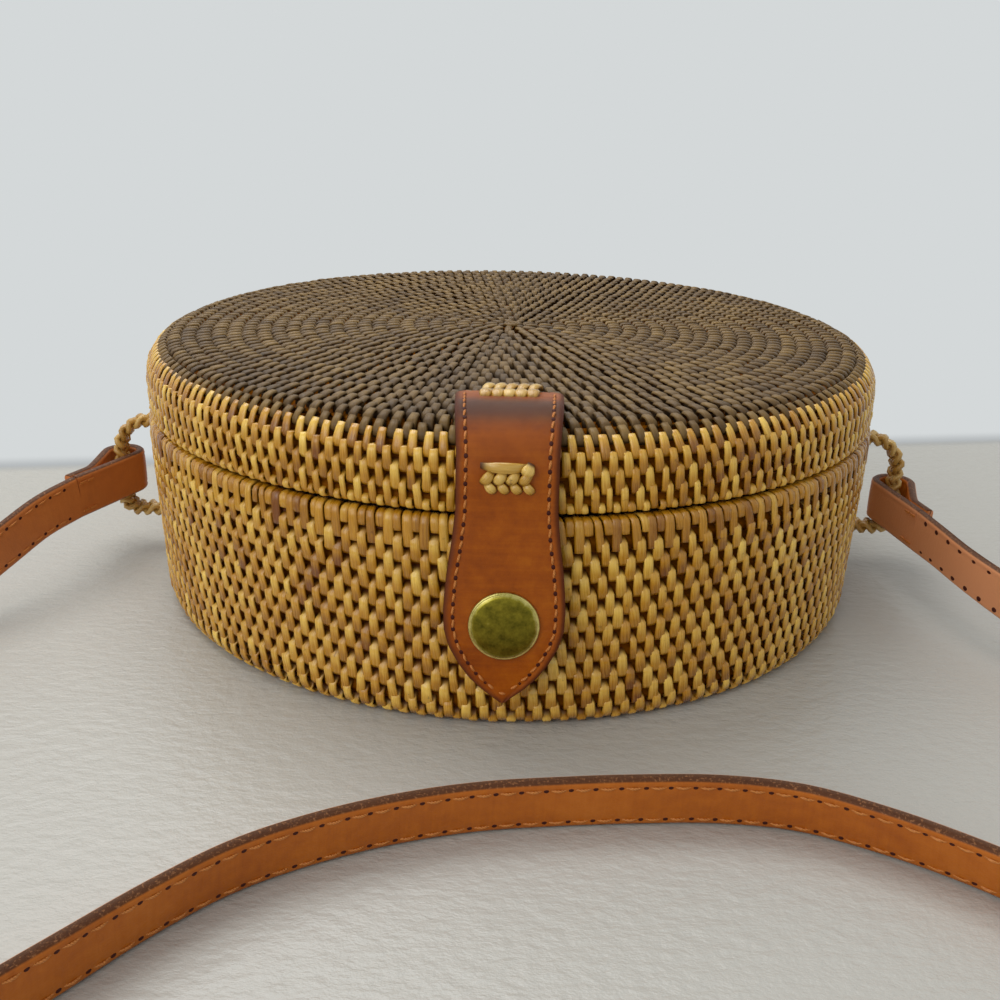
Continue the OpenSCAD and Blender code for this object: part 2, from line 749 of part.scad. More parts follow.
// Directions up the strap's width and out of its face, leaned towards the front
function up_of(t) = let(u = [0, 0, 1] - t * t[2]) u / norm(u);
function lean_up(t, a) = up_of(t) * cos(a) + cross(t, up_of(t)) * sin(a);
function lean_out(t, a) = cross(t, up_of(t)) * cos(a) - up_of(t) * sin(a);

// The strap's section: an oblong with its corners taken off, as shares of half width and half
// thickness
strap_section_shares = [[1, 0.5], [0.88, 1], [-0.88, 1], [-1, 0.5], [-1, -0.5], [-0.88, -1],
    [0.88, -1], [1, -0.5]];

function strap_ring(i) = let(p = at(i), t = along(i), u = lean_up(t, p[3]), o = lean_out(t, p[3]))
    [for (s = strap_section_shares)
        [p[0], p[1], p[2]] + u * s[0] * strap_w / 2 + o * s[1] * strap_t / 2];

module strap() {
    sides = len(strap_section_shares);
    rings = len(route);
    points = [for (i = [0 : rings - 1]) each strap_ring(i)];
    skin = [for (i = [0 : rings - 2]) for (k = [0 : sides - 1])
        let(a = i * sides + k, b = i * sides + (k + 1) % sides)
            each [[a, b + sides, b], [a, a + sides, b + sides]]];
    ends = [[for (k = [0 : sides - 1]) k],
        [for (k = [sides - 1 : -1 : 0]) (rings - 1) * sides + k]];
    color(leather) polyhedron(points, concat(skin, ends));
}

base_shell();
base_rim_hoop();
base_collar();
base_floor_lining();
base_wall_lining();
snap_stud();
snap_post();
stud_washer();
left_strap_loop();
right_strap_loop();
left_hinge_base_loops();
right_hinge_base_loops();
left_hinge_pin();
right_hinge_pin();
left_strap_end();
right_strap_end();
strap_end_stitching();
strap();
lid_shell();
lid_rim_hoop();
lid_top_lining();
lid_wall_lining();
tab_strip();
tab_strip_backing();
tab_strip_stitching();
tab_lacing_top();
tab_lacing_front();
left_hinge_lid_loop();
right_hinge_lid_loop();
tab_flap();
tab_flap_backing();
tab_flap_stitching();
snap_cap();
snap_socket();
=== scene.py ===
"""Looks of the round rattan box bag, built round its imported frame, in metres.

The strap comes first, because it decides how far the model spreads. The two halves are woven
strand by strand, and the tab, snap, lacings, loops, hinges, collar and linings are pieces of their own.
"""
import logging
import math
from collections.abc import Callable, Sequence
from dataclasses import dataclass, field
from enum import Enum

import bmesh
import bpy
import numpy as np
from mathutils import Matrix, Vector


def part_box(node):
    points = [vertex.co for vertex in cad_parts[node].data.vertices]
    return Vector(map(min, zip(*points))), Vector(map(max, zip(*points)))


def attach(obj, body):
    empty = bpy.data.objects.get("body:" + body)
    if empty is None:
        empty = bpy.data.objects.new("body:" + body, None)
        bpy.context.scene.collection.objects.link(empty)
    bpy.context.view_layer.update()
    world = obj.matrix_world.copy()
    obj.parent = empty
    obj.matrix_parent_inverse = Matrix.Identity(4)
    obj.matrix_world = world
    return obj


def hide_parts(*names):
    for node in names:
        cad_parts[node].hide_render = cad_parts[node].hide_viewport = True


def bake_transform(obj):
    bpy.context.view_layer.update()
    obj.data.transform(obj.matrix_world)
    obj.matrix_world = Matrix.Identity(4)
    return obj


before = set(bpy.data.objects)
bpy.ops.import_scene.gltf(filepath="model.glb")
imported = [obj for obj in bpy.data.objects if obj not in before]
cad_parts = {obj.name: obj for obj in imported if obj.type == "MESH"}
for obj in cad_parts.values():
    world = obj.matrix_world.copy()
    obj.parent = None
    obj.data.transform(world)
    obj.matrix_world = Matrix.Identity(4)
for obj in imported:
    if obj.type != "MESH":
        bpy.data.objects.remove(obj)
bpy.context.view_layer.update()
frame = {"nodes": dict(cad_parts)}

LOG = logging.getLogger("circle_bag")
MM = 0.001
WELD = 1e-7
POLE_WELD = 1e-5
TURN = 2 * math.pi
UP = Vector((0, 0, 1))
CHUNK = 2000
PARTS_BETWEEN_STOPS = 16
STRAND_SIDES = 8
STRAND_TIP = 0.55
OUTLINE_STEP = 0.25 * MM
WALL_COLOUR = (212, 216, 217)
BACKDROP_RAYS = ("Camera", "Glossy", "Transmission")
Colour = tuple[float, float, float]


class Body(Enum):
    """The bodies that a piece can ride on."""

    BASE = "base"
    LID = "lid"
    TAB = "tab"


class Slot(Enum):
    """The material slots of the record."""

    RATTAN = "rattan"
    DARK_RATTAN = "dark_rattan"
    LEATHER = "leather"
    LEATHER_BACK = "leather_back"
    STRAP_LEATHER = "strap_leather"
    THREAD = "thread"
    BRASS = "brass"
    LINING = "lining"


# Materials


def shade(red: float, green: float, blue: float) -> tuple[float, float, float, float]:
    """A screen colour as a node takes it.

    Args:
        red: Its red, 0 to 255.
        green: Its green.
        blue: Its blue.

    Returns:
        The linear colour, with its alpha.
    """
    parts = []
    for part in (red, green, blue):
        value = part / 255
        parts.append(value / 12.92 if value <= 0.04045 else ((value + 0.055) / 1.055) ** 2.4)
    return (parts[0], parts[1], parts[2], 1.0)


class Sock:
    """A node's output in a Python expression, where each operator adds a node."""

    def __init__(self, paint: "Paint", socket: bpy.types.NodeSocket) -> None:
        """Keep the socket and the material that it belongs to."""
        self.paint = paint
        self.socket = socket

    def math(self, operation: str, *values: "Sock | float") -> "Sock":
        """The result of a Math node on these values."""
        return self.paint.node("ShaderNodeMath", {"operation": operation}, dict(enumerate(values)))

    def __add__(self, other: "Sock | float") -> "Sock":
        """This plus other."""
        return self.math("ADD", self, other)

    def __radd__(self, other: float) -> "Sock":
        """A number plus this."""
        return self.math("ADD", other, self)

    def __sub__(self, other: "Sock | float") -> "Sock":
        """This less other."""
        return self.math("SUBTRACT", self, other)

    def __rsub__(self, other: float) -> "Sock":
        """A number less this."""
        return self.math("SUBTRACT", other, self)

    def __mul__(self, other: "Sock | float") -> "Sock":
        """This times other."""
        return self.math("MULTIPLY", self, other)

    def __rmul__(self, other: float) -> "Sock":
        """A number times this."""
        return self.math("MULTIPLY", other, self)

    def larger(self, other: "Sock") -> "Sock":
        """The larger of this and other."""
        return self.math("MAXIMUM", self, other)

    def sine(self) -> "Sock":
        """The sine of this."""
        return self.math("SINE", self)

    def ramp_from(self, low: float, high: float) -> "Sock":
        """A smooth rise.

        Args:
            low: Where it is 0.
            high: Where it is 1, which may be the lower of the two.

        Returns:
            The rise.
        """
        return self.paint.node(
            "ShaderNodeMapRange",
            {"interpolation_type": "SMOOTHSTEP"},
            {"Value": self, "From Min": low, "From Max": high, "To Min": 0.0, "To Max": 1.0},
        )

    def stretched(self, x: float, y: float, z: float) -> "Sock":
        """This vector with its three parts multiplied."""
        return self.paint.node("ShaderNodeVectorMath", {"operation": "MULTIPLY"}, {0: self, 1: (x, y, z)})

    def parts(self) -> "tuple[Sock, Sock, Sock]":
        """The three parts of this vector."""
        node = self.paint.node("ShaderNodeSeparateXYZ", {}, {"Vector": self}).socket.node
        return tuple(Sock(self.paint, out) for out in node.outputs[:3])


class Paint:
    """One material's nodes."""

    def __init__(self, name: str) -> None:
        """Start an empty material with its output.

        Args:
            name: Its name.
        """
        self.material = bpy.data.materials.new(name)
        self.material.use_nodes = True
        self.tree = self.material.node_tree
        self.tree.nodes.clear()
        self.output = self.tree.nodes.new("ShaderNodeOutputMaterial")

    def node(self, kind: str, settings: dict, sockets: dict, out: int | str = 0) -> Sock:
        """Add a node.

        Args:
            kind: The node's type.
            settings: Its settings, set first; "stops" are a ramp's (place, colour) pairs.
            sockets: A value or another node's output for each input, by name or number.
            out: Which output to return.

        Returns:
            That output.
        """
        node = self.tree.nodes.new(kind)
        for key, value in settings.items():
            if key == "stops":
                self.set_stops(node.color_ramp.elements, value)
            else:
                setattr(node, key, value)
        for key, value in sockets.items():
            if isinstance(value, Sock):
                self.tree.links.new(value.socket, node.inputs[key])
            else:
                node.inputs[key].default_value = value
        return Sock(self, node.outputs[out])

    @staticmethod
    def set_stops(elements: bpy.types.ColorRampElements, stops: Sequence[tuple[float, Colour]]) -> None:
        """Give a ramp its stops.

        Args:
            elements: The ramp's own stops.
            stops: The place and the screen colour of each.
        """
        while len(elements) < len(stops):
            elements.new(0.5)
        for element, (place, colour) in zip(elements, stops):
            element.position = place
            element.color = shade(*colour)

    def attribute(self, name: str, out: str = "Fac") -> Sock:
        """What the mesh carries on its points: a number, or a vector where out is Vector."""
        return self.node("ShaderNodeAttribute", {"attribute_name": name}, {}, out)

    def place(self) -> Sock:
        """The point's place in the object's own frame."""
        return self.node("ShaderNodeTexCoord", {}, {}, "Object")

    def noise(self, vector: Sock, scale: float, detail: float = 2.0, rough: float = 0.5) -> Sock:
        """Soft noise from 0 to 1."""
        sockets = {"Vector": vector, "Scale": scale, "Detail": detail, "Roughness": rough}
        return self.node("ShaderNodeTexNoise", {}, sockets)

    def cells(self, vector: Sock, scale: float) -> Sock:
        """The distance to the nearest of many scattered points."""
        return self.node("ShaderNodeTexVoronoi", {}, {"Vector": vector, "Scale": scale})

    def ramp(self, value: Sock, stops: Sequence[tuple[float, Colour]]) -> Sock:
        """A colour for each value."""
        return self.node("ShaderNodeValToRGB", {"stops": stops}, {"Fac": value})

    def mix(self, share: Sock | float, first: Sock | tuple, second: Sock | tuple) -> Sock:
        """Two colours mixed."""
        return self.node("ShaderNodeMix", {"data_type": "RGBA"}, {0: share, 6: first, 7: second}, 2)

    def bump(self, height: Sock, distance: float) -> Sock:
        """A normal for this height."""
        return self.node("ShaderNodeBump", {}, {"Height": height, "Distance": distance, "Strength": 1.0})

    def finish(self, **sockets: "Sock | float | tuple") -> bpy.types.Material:
        """Close the material with the surface shader.

        Args:
            **sockets: A value or an output for each of its inputs, named with _ for each space.

        Returns:
            The material.
        """
        named = {key.replace("_", " "): value for key, value in sockets.items()}
        shader = self.node("ShaderNodeBsdfPrincipled", {}, named)
        self.tree.links.new(shader.socket, self.output.inputs["Surface"])
        return self.material


@dataclass(frozen=True)
class RattanFinish:
    """Varnished split rattan, from dark flecks and the painted shade where its strands dive under to its
    palest fibres.
    """

    name: str
    dark: Colour
    middle: Colour
    pale: Colour
    # The colour of dark flecks, and of painted shade where strands dive under
    shade_and_flecks: Colour = (38, 22, 8)
    dust: Colour = (128, 112, 92)
    dustiness: float = 0.0
    roughness: float = 0.36
    coat: float = 0.25
    specular: float = 0.4
    coat_roughness: float = 0.22
    streaks: tuple[float, float, float] = (2600.0, 160.0, 1.0)
    fibres: tuple[float, float, float] = (9000.0, 420.0, 3.0)
    flecks: tuple[float, float, float] = (900.0, 700.0, 7.0)
    patches: float = 34.0
    relief: float = 0.12 * MM

    def paint(self) -> bpy.types.Material:
        """Make the material; it reads the strands' tint, dip and fibre attributes, and paints shade where
        the dip is high.

        Returns:
            The material.
        """
        p = Paint(self.name)
        # The woven strands' tint also carries a painted highlight near each top and painted shade towards
        # each lower end
        tint = p.attribute("tint")
        dip = p.attribute("dip")
        fibre = p.attribute("fibre", "Vector")
        streak = p.noise(fibre.stretched(*self.streaks), 1.0, 3.0, 0.6)
        fine = p.noise(fibre.stretched(*self.fibres), 1.0, 2.0)
        patch = p.noise(p.place(), self.patches, 2.0)
        tone = tint * 0.62 + streak * 0.55 + fine * 0.2 + patch * 0.45 - 0.42
        wood = p.ramp(tone, [(0.02, self.dark), (0.42, self.middle), (0.95, self.pale)])
        flecks = p.noise(fibre.stretched(*self.flecks), 1.0, 2.0).ramp_from(0.66, 0.8)
        marked = p.mix(flecks * 0.55, wood, shade(*self.shade_and_flecks))
        dusted = p.mix(self.dustiness, marked, shade(*self.dust))
        # Painted shade where a strand dives under its neighbours and along its shoulders
        painted_shade = dip.ramp_from(0.1, 0.95)
        colour = p.mix(painted_shade, dusted, shade(*self.shade_and_flecks))
        bump = p.bump(streak + fine * 0.6, self.relief)
        rough = streak * 0.16 + painted_shade * 0.3 + (self.roughness - 0.08)
        return p.finish(
            Base_Color=colour,
            Roughness=rough,
            Normal=bump,
            Specular_IOR_Level=self.specular,
            Coat_Weight=(1 - painted_shade) * self.coat,
            Coat_Roughness=self.coat_roughness,
        )


@dataclass(frozen=True)
class LeatherFinish:
    """Tan leather with a fine grain, dark cut edges and needle holes."""

    name: str
    dark: Colour
    middle: Colour
    pale: Colour
    edge: Colour
    grain: float = 2600.0
    grain_depth: float = 0.06 * MM
    roughness: float = 0.42
    coat: float = 0.12
    coat_roughness: float = 0.3
    specular: float = 0.24
    # The flesh side's colour on the strap, and a painted sheen across the tab's bend
    flesh_and_sheen: Colour = (112, 74, 66)
    flesh_and_sheen_strength: float = 0.8
    burn_share: float = 0.85
    edge_width: float = 1.6 * MM
    edge_core: float = 0.2 * MM
    fuzz: float = 0.0
    fuzz_colour: Colour = (150, 104, 66)
    clouds: float = 55.0
    mottles: float = 340.0
    fluff: float = 1700.0
    creases: tuple[float, float, float] = (60.0, 900.0, 1.0)

    def paint(self) -> bpy.types.Material:
        """Make the material; it reads the lay (across, along, and the share of the flesh side's colour on
        the strap and of a painted sheen on the tab) and rim attributes.

        Returns:
            The material.
        """
        p = Paint(self.name)
        lay = p.attribute("lay", "Vector")
        rim = p.attribute("rim")
        flesh_and_sheen_mask = lay.parts()[2]
        cloud = p.noise(p.place(), self.clouds, 4.0, 0.6)
        mottle = p.noise(p.place(), self.mottles, 3.0, 0.6)
        pores = p.cells(lay, self.grain)
        grain = p.noise(lay, self.grain * 0.7, 3.0)
        creases = p.noise(lay.stretched(*self.creases), 1.0, 4.0, 0.65)
        tone = cloud * 0.6 + mottle * 0.35 + creases * 0.25 - 0.12
        hide = p.ramp(tone, [(0.2, self.dark), (0.5, self.middle), (0.85, self.pale)])
        # The flesh side's colour on the strap, a painted sheen across the bend on the tab
        with_flesh_and_sheen = p.mix(flesh_and_sheen_mask.ramp_from(0.2, 1.0) * self.flesh_and_sheen_strength, hide, shade(*self.flesh_and_sheen))
        burnt = rim.ramp_from(self.edge_width, self.edge_core)
        fluff = p.noise(p.place(), self.fluff, 3.0, 0.7).ramp_from(0.52, 0.68)
        cut = p.mix(fluff * self.fuzz, shade(*self.edge), shade(*self.fuzz_colour))
        colour = p.mix(burnt * self.burn_share, with_flesh_and_sheen, cut)
        height = pores * 0.5 + grain * 0.5 + creases * 0.8
        return p.finish(
            Base_Color=colour,
            Roughness=grain * 0.18 + burnt * 0.15 + (self.roughness - 0.09),
            Normal=p.bump(height, self.grain_depth),
            Specular_IOR_Level=self.specular,
            Coat_Weight=(1 - burnt) * self.coat,
            Coat_Roughness=self.coat_roughness,
        )


@dataclass(frozen=True)
class ThreadFinish:
    """Twisted waxed thread."""

    name: str
    middle: Colour
    pale: Colour
    fuzz: float = 2400.0
    twist: float = 900.0
    relief: float = 0.08 * MM

    def paint(self) -> bpy.types.Material:
        """Make the material, with its twist as slanting bands in the object's own frame.

        Returns:
            The material.
        """
        p = Paint(self.name)
        fine = p.noise(p.place(), self.fuzz, 2.0)
        bands = {"Vector": p.place(), "Scale": self.twist}
        twist = p.node("ShaderNodeTexWave", {"bands_direction": "DIAGONAL"}, bands, "Fac")
        colour = p.mix(fine * 0.6 + twist * 0.4, shade(*self.middle), shade(*self.pale))
        return p.finish(Base_Color=colour, Roughness=0.55, Normal=p.bump(twist + fine, self.relief))


@dataclass(frozen=True)
class BrassFinish:
    """Antiqued brass: olive in the hollows, paler and shinier along a painted highlight."""

    name: str
    dark: Colour = (84, 78, 18)
    middle: Colour = (138, 126, 38)
    pale: Colour = (222, 210, 132)
    patches: float = 420.0
    specks: float = 1900.0
    relief: float = 0.03 * MM

    def paint(self) -> bpy.types.Material:
        """Make the material; it reads the rim_highlight attribute, a painted highlight, where a piece has
        one.

        Returns:
            The material.
        """
        p = Paint(self.name)
        rim_highlight = p.attribute("rim_highlight")
        patch = p.noise(p.place(), self.patches, 4.0, 0.65)
        speck = p.noise(p.place(), self.specks, 3.0)
        tone = patch * 0.75 + speck * 0.25 + rim_highlight * 0.5 - 0.1
        colour = p.ramp(tone, [(0.25, self.dark), (0.55, self.middle), (1.0, self.pale)])
        return p.finish(
            Base_Color=colour,
            Metallic=0.92,
            Roughness=patch * 0.3 + 0.26 - rim_highlight * 0.14,
            Normal=p.bump(speck * 0.6 + patch, self.relief),
        )


@dataclass(frozen=True)
class ClothFinish:
    """Plain woven cotton."""

    name: str
    dark: Colour = (168, 150, 122)
    pale: Colour = (214, 202, 176)
    yarn: float = 1.1 * MM
    relief: float = 0.25 * MM

    def paint(self) -> bpy.types.Material:
        """Make the material; its weave follows the lay attribute.

        Returns:
            The material.
        """
        p = Paint(self.name)
        lay = p.attribute("lay", "Vector")
        across, along, _ = lay.parts()
        warp, weft = ((part * (TURN / self.yarn)).sine() for part in (across, along))
        slub = p.noise(lay.stretched(300.0, 2400.0, 1.0), 1.0, 3.0)
        cloth = warp * weft * 0.25 + slub * 0.8
        colour = p.mix(cloth.ramp_from(0.0, 0.9), shade(*self.dark), shade(*self.pale))
        return p.finish(Base_Color=colour, Roughness=0.88, Normal=p.bump(cloth, self.relief))


@dataclass(frozen=True)
class TableFinish:
    """A pale, faintly glossy table top, and the paler wall behind the line where it ends."""

    name: str
    table: Colour = (180, 177, 168)
    lighter: float = 8
    line: Colour = (150, 152, 152)
    shadow: Colour = (162, 166, 168)
    left: tuple[float, float] = (-0.1838, 0.0601)
    right: tuple[float, float] = (0.203, 0.1222)
    line_width: float = 6.0 * MM
    shadow_width: float = 14.0 * MM
    pebbles: float = 230.0
    relief: float = 0.5 * MM

    def paint(self) -> bpy.types.Material:
        """Make the material; the line follows the floor's own frame.

        Returns:
            The material.
        """
        p = Paint(self.name)
        x, y, _ = p.place().parts()
        slope = (self.right[1] - self.left[1]) / (self.right[0] - self.left[0])
        beyond = y - x * slope - (self.left[1] - slope * self.left[0])
        cloud = p.noise(p.place(), 3.0, 3.0)
        top = p.mix(cloud, shade(*self.table), shade(*(part + self.lighter for part in self.table)))
        line = p.mix(beyond.ramp_from(-self.line_width, 0.0) * 0.5, top, shade(*self.line))
        wall = beyond.ramp_from(-2.0 * MM, 3.0 * MM)
        pebbles = p.noise(p.place().stretched(1.0, 1.6, 1.0), self.pebbles, 4.0, 0.6)
        p.finish(Base_Color=line, Roughness=0.36, Normal=p.bump(pebbles, self.relief))
        lit = Sock(p, p.output.inputs["Surface"].links[0].from_socket)
        share = beyond.ramp_from(self.shadow_width, 0.0) * 0.7
        edge = p.mix(share, shade(*WALL_COLOUR), shade(*self.shadow))
        plain = p.node("ShaderNodeEmission", {}, {"Color": edge})
        path = p.node("ShaderNodeLightPath", {}, {}).socket.node
        camera, glossy, through = (Sock(p, path.outputs[f"Is {kind} Ray"]) for kind in BACKDROP_RAYS)
        seen = camera.larger(glossy).larger(through)
        mixed = p.node("ShaderNodeMixShader", {}, {0: wall * seen, 1: lit, 2: plain})
        p.tree.links.new(mixed.socket, p.output.inputs["Surface"])
        return p.material


@dataclass(frozen=True)
class Finishes:
    """Every finish of the bag, made once."""

    wall: bpy.types.Material
    top: bpy.types.Material
    core: bpy.types.Material
    collar: bpy.types.Material
    lacing: bpy.types.Material
    braid: bpy.types.Material
    tab: bpy.types.Material
    tab_back: bpy.types.Material
    strap: bpy.types.Material
    hole: bpy.types.Material
    thread: bpy.types.Material
    brass: bpy.types.Material
    cloth: bpy.types.Material

    @classmethod
    def make(cls) -> "Finishes":
        """Make every material.

        Returns:
            The bag's materials.
        """
        return cls(
            wall=RattanFinish(
                "rattan_wall", (122, 66, 2), (195, 137, 26), (250, 208, 94), shade_and_flecks=(92, 42, 0),
                roughness=0.27, coat=0.55,
            ).paint(),
            # The lid's top is darker and duller than the wall: partly its own tone, partly painted shade on
            # the top
            top=RattanFinish(
                "rattan_top", (58, 38, 10), (96, 70, 30), (142, 111, 58), shade_and_flecks=(42, 26, 10),
                dust=(106, 80, 40), dustiness=0.15, roughness=0.5, coat=0.08, specular=0.3,
            ).paint(),
            core=RattanFinish(
                "rattan_core", (88, 46, 0), (126, 70, 0), (158, 98, 10), shade_and_flecks=(100, 52, 0),
                coat=0.0, specular=0.03,
            ).paint(),
            collar=RattanFinish(
                "rattan_smoked", (30, 20, 14), (58, 40, 26), (92, 66, 42), shade_and_flecks=(14, 9, 6),
            ).paint(),
            lacing=RattanFinish(
                "rattan_lacing", (116, 72, 8), (186, 136, 34), (244, 206, 112), shade_and_flecks=(84, 46, 8),
                roughness=0.24, coat=0.6,
            ).paint(),
            braid=RattanFinish(
                "rattan_braid", (112, 74, 24), (182, 138, 62), (236, 204, 130), shade_and_flecks=(72, 44, 12),
            ).paint(),
            tab=LeatherFinish(
                "leather_tab", (112, 44, 0), (156, 76, 0), (192, 108, 10), (84, 34, 6),
                flesh_and_sheen=(48, 24, 6), coat=0.03,
            ).paint(),
            tab_back=LeatherFinish(
                "leather_flesh", (104, 58, 34), (128, 76, 46), (152, 98, 64), (70, 34, 18),
            ).paint(),
            strap=LeatherFinish(
                "leather_strap", (156, 78, 20), (184, 100, 24), (204, 120, 42), (36, 20, 10),
                grain=1900.0, coat=0.04, flesh_and_sheen=(214, 150, 108), edge_width=0.5 * MM, fuzz=0.75,
            ).paint(),
            hole=LeatherFinish(
                "leather_hole", (66, 16, 6), (82, 24, 8), (98, 34, 12), (60, 16, 6),
            ).paint(),
            thread=ThreadFinish("thread_waxed", (168, 92, 30), (222, 144, 66)).paint(),
            brass=BrassFinish("brass_antique").paint(),
            cloth=ClothFinish("cotton_lining").paint(),
        )


# Mesh tools


def tube(sides: int, spans: int, place: Callable[[float, int], Vector]) -> bmesh.types.BMesh:
    """A closed tube, rolled up from a grid.

    Args:
        sides: Points round the ring.
        spans: Stretches along the tube.
        place: Where a point goes, from its turn round the ring, 0 to 1, and its ring's number.

    Returns:
        The tube, capped at both ends.
    """
    bm = bmesh.new()
    bmesh.ops.create_grid(bm, x_segments=sides, y_segments=spans, size=1.0)
    for vert in bm.verts:
        column = round((vert.co.x + 1) / 2 * sides) % sides
        vert.co = place(column / sides, round((vert.co.y + 1) / 2 * spans))
    bmesh.ops.remove_doubles(bm, verts=bm.verts, dist=WELD)
    bmesh.ops.holes_fill(bm, edges=[edge for edge in bm.edges if edge.is_boundary], sides=0)
    bmesh.ops.recalc_face_normals(bm, faces=bm.faces)
    for face in bm.faces:
        if len(face.verts) > 4:
            for edge in face.edges:
                edge.smooth = False
    return bm


def turned(outline: Sequence[tuple[float, float]], steps: int, closed: bool = False) -> bmesh.types.BMesh:
    """A shape turned round the Z axis.

    Args:
        outline: Its half section as (radius, height) points.
        steps: Stretches in the full turn.
        closed: Whether the last point joins the first.

    Returns:
        The shape, with its poles merged and its faces pointing outwards.
    """
    bm = bmesh.new()
    verts = [bm.verts.new((radius, 0, height)) for radius, height in outline]
    pairs = list(zip(verts, verts[1:] + verts[:1] if closed else verts[1:]))
    edges = [bm.edges.new(pair) for pair in pairs]
    bmesh.ops.spin(bm, geom=[*verts, *edges], axis=(0, 0, 1), angle=TURN, steps=steps, use_merge=True)
    bmesh.ops.remove_doubles(bm, verts=bm.verts, dist=POLE_WELD)
    bmesh.ops.recalc_face_normals(bm, faces=bm.faces)
    return bm


def copies(unit: bmesh.types.BMesh, count: int) -> tuple[bpy.types.Mesh, np.ndarray]:
    """Repeat a unit.

    Args:
        unit: The shape, which is used up.
        count: How many there are to be.

    Returns:
        A mesh of the copies, one after another in its list of points, and the points of one of them.
    """
    single = to_mesh(unit)
    shape = points(single)
    size = len(shape)
    unit = bmesh.new()
    unit.from_mesh(single)
    bpy.data.meshes.remove(single)
    have = 1
    while have < count:
        extra = min(have, count - have)
        unit.verts.ensure_lookup_table()
        verts = unit.verts[: extra * size]
        inside = set(verts)
        faces = [face for face in unit.faces if face.verts[0] in inside]
        edges = [edge for edge in unit.edges if edge.verts[0] in inside]
        bmesh.ops.duplicate(unit, geom=[*verts, *edges, *faces])
        have += extra
    return to_mesh(unit), shape


def give(mesh: bpy.types.Mesh, name: str, values: np.ndarray) -> None:
    """Keep something for each point of a mesh.

    Args:
        mesh: The mesh.
        name: The attribute's name.
        values: One number or one vector for each point.
    """
    wide = values.ndim == 2
    layer = mesh.attributes.new(name, "FLOAT_VECTOR" if wide else "FLOAT", "POINT")
    layer.data.foreach_set("vector" if wide else "value", values.astype(np.float32).ravel())


def points(mesh: bpy.types.Mesh) -> np.ndarray:
    """The points of a mesh, one row each.

    Args:
        mesh: The mesh.

    Returns:
        The points.
    """
    flat = np.zeros(len(mesh.vertices) * 3, np.float32)
    mesh.vertices.foreach_get("co", flat)
    return flat.reshape(-1, 3).astype(float)


def set_points(mesh: bpy.types.Mesh, rows: np.ndarray) -> None:
    """Move the points of a mesh."""
    mesh.vertices.foreach_set("co", rows.astype(np.float32).ravel())
    mesh.update()


def to_mesh(bm: bmesh.types.BMesh) -> bpy.types.Mesh:
    """A mesh from a finished bmesh.

    Args:
        bm: The bmesh, which is used up.

    Returns:
        The mesh.
    """
    mesh = bpy.data.meshes.new("piece")
    bm.to_mesh(mesh)
    bm.free()
    return mesh


def face_out(mesh: bpy.types.Mesh) -> None:
    """Turn the faces of closed shapes outwards.

    Args:
        mesh: The mesh of the shapes.
    """
    bm = bmesh.new()
    bm.from_mesh(mesh)
    bmesh.ops.recalc_face_normals(bm, faces=bm.faces)
    bm.to_mesh(mesh)
    bm.free()


def toned(mesh: bpy.types.Mesh, tint: float, dip: float = 0.0) -> bpy.types.Mesh:
    """Tint a mesh evenly for the rattan finish.

    Args:
        mesh: The mesh.
        tint: How pale it is, 0 to 1.
        dip: How deep it lies in the weave, 0 to 1; the finish paints it as shade.

    Returns:
        The same mesh.
    """
    give(mesh, "tint", np.full(len(mesh.vertices), tint))
    give(mesh, "dip", np.full(len(mesh.vertices), dip))
    return mesh


def piece(
    name: str,
    mesh: bpy.types.Mesh,
    material: bpy.types.Material,
    slot: Slot,
    body: Body | None,
    stands_for: Sequence[str] = (),
) -> bpy.types.Object:
    """Make an object of a finished mesh.

    Args:
        name: The piece's name.
        mesh: Its mesh, already in place.
        material: Its finish.
        slot: The record's slot for that finish; not used.
        body: What it rides on, or None where it bends between two bodies.
        stands_for: The CAD nodes that it replaces.

    Returns:
        The object.
    """
    mesh.name = name
    mesh.materials.append(material)
    mesh.shade_smooth()
    made = bpy.data.objects.new(name, mesh)
    bpy.context.scene.collection.objects.link(made)
    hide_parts(*stands_for)
    if body:
        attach(made, body.value)
    LOG.info("%s: %d faces, %s", name, len(mesh.polygons), body.value if body else "blended")
    return made


def run_along(rows: np.ndarray) -> np.ndarray:
    """How far along a line each of its points lies."""
    return np.concatenate([[0.0], np.cumsum(np.linalg.norm(np.diff(rows, axis=0), axis=1))])


def nearest(rows: np.ndarray, spots: np.ndarray) -> tuple[np.ndarray, np.ndarray]:
    """Find the spot that is nearest to each row.

    Args:
        rows: Points, one to a row.
        spots: The points to choose from.

    Returns:
        The number of each row's spot, and how far away it is.
    """
    number, away = [], []
    for first in range(0, len(rows), CHUNK):
        apart = ((rows[first : first + CHUNK, None] - spots[None]) ** 2).sum(axis=2)
        number.append(apart.argmin(axis=1))
        away.append(np.sqrt(apart.min(axis=1)))
    return np.concatenate(number), np.concatenate(away)


def columns(stations: Sequence[tuple[Vector, Vector, Vector]]) -> list[np.ndarray]:
    """The points and the two directions of the stations of a line, as one array each."""
    return [np.array([list(part) for part in column]) for column in zip(*stations)]


def path_length(path: Sequence[Vector]) -> float:
    """The length of a path."""
    return sum((after - before).length for before, after in zip(path, path[1:]))


def heading(path: Sequence[Vector], index: int) -> Vector:
    """Which way a path runs at one of its points."""
    return (path[min(index + 1, len(path) - 1)] - path[max(index - 1, 0)]).to_3d().normalized()


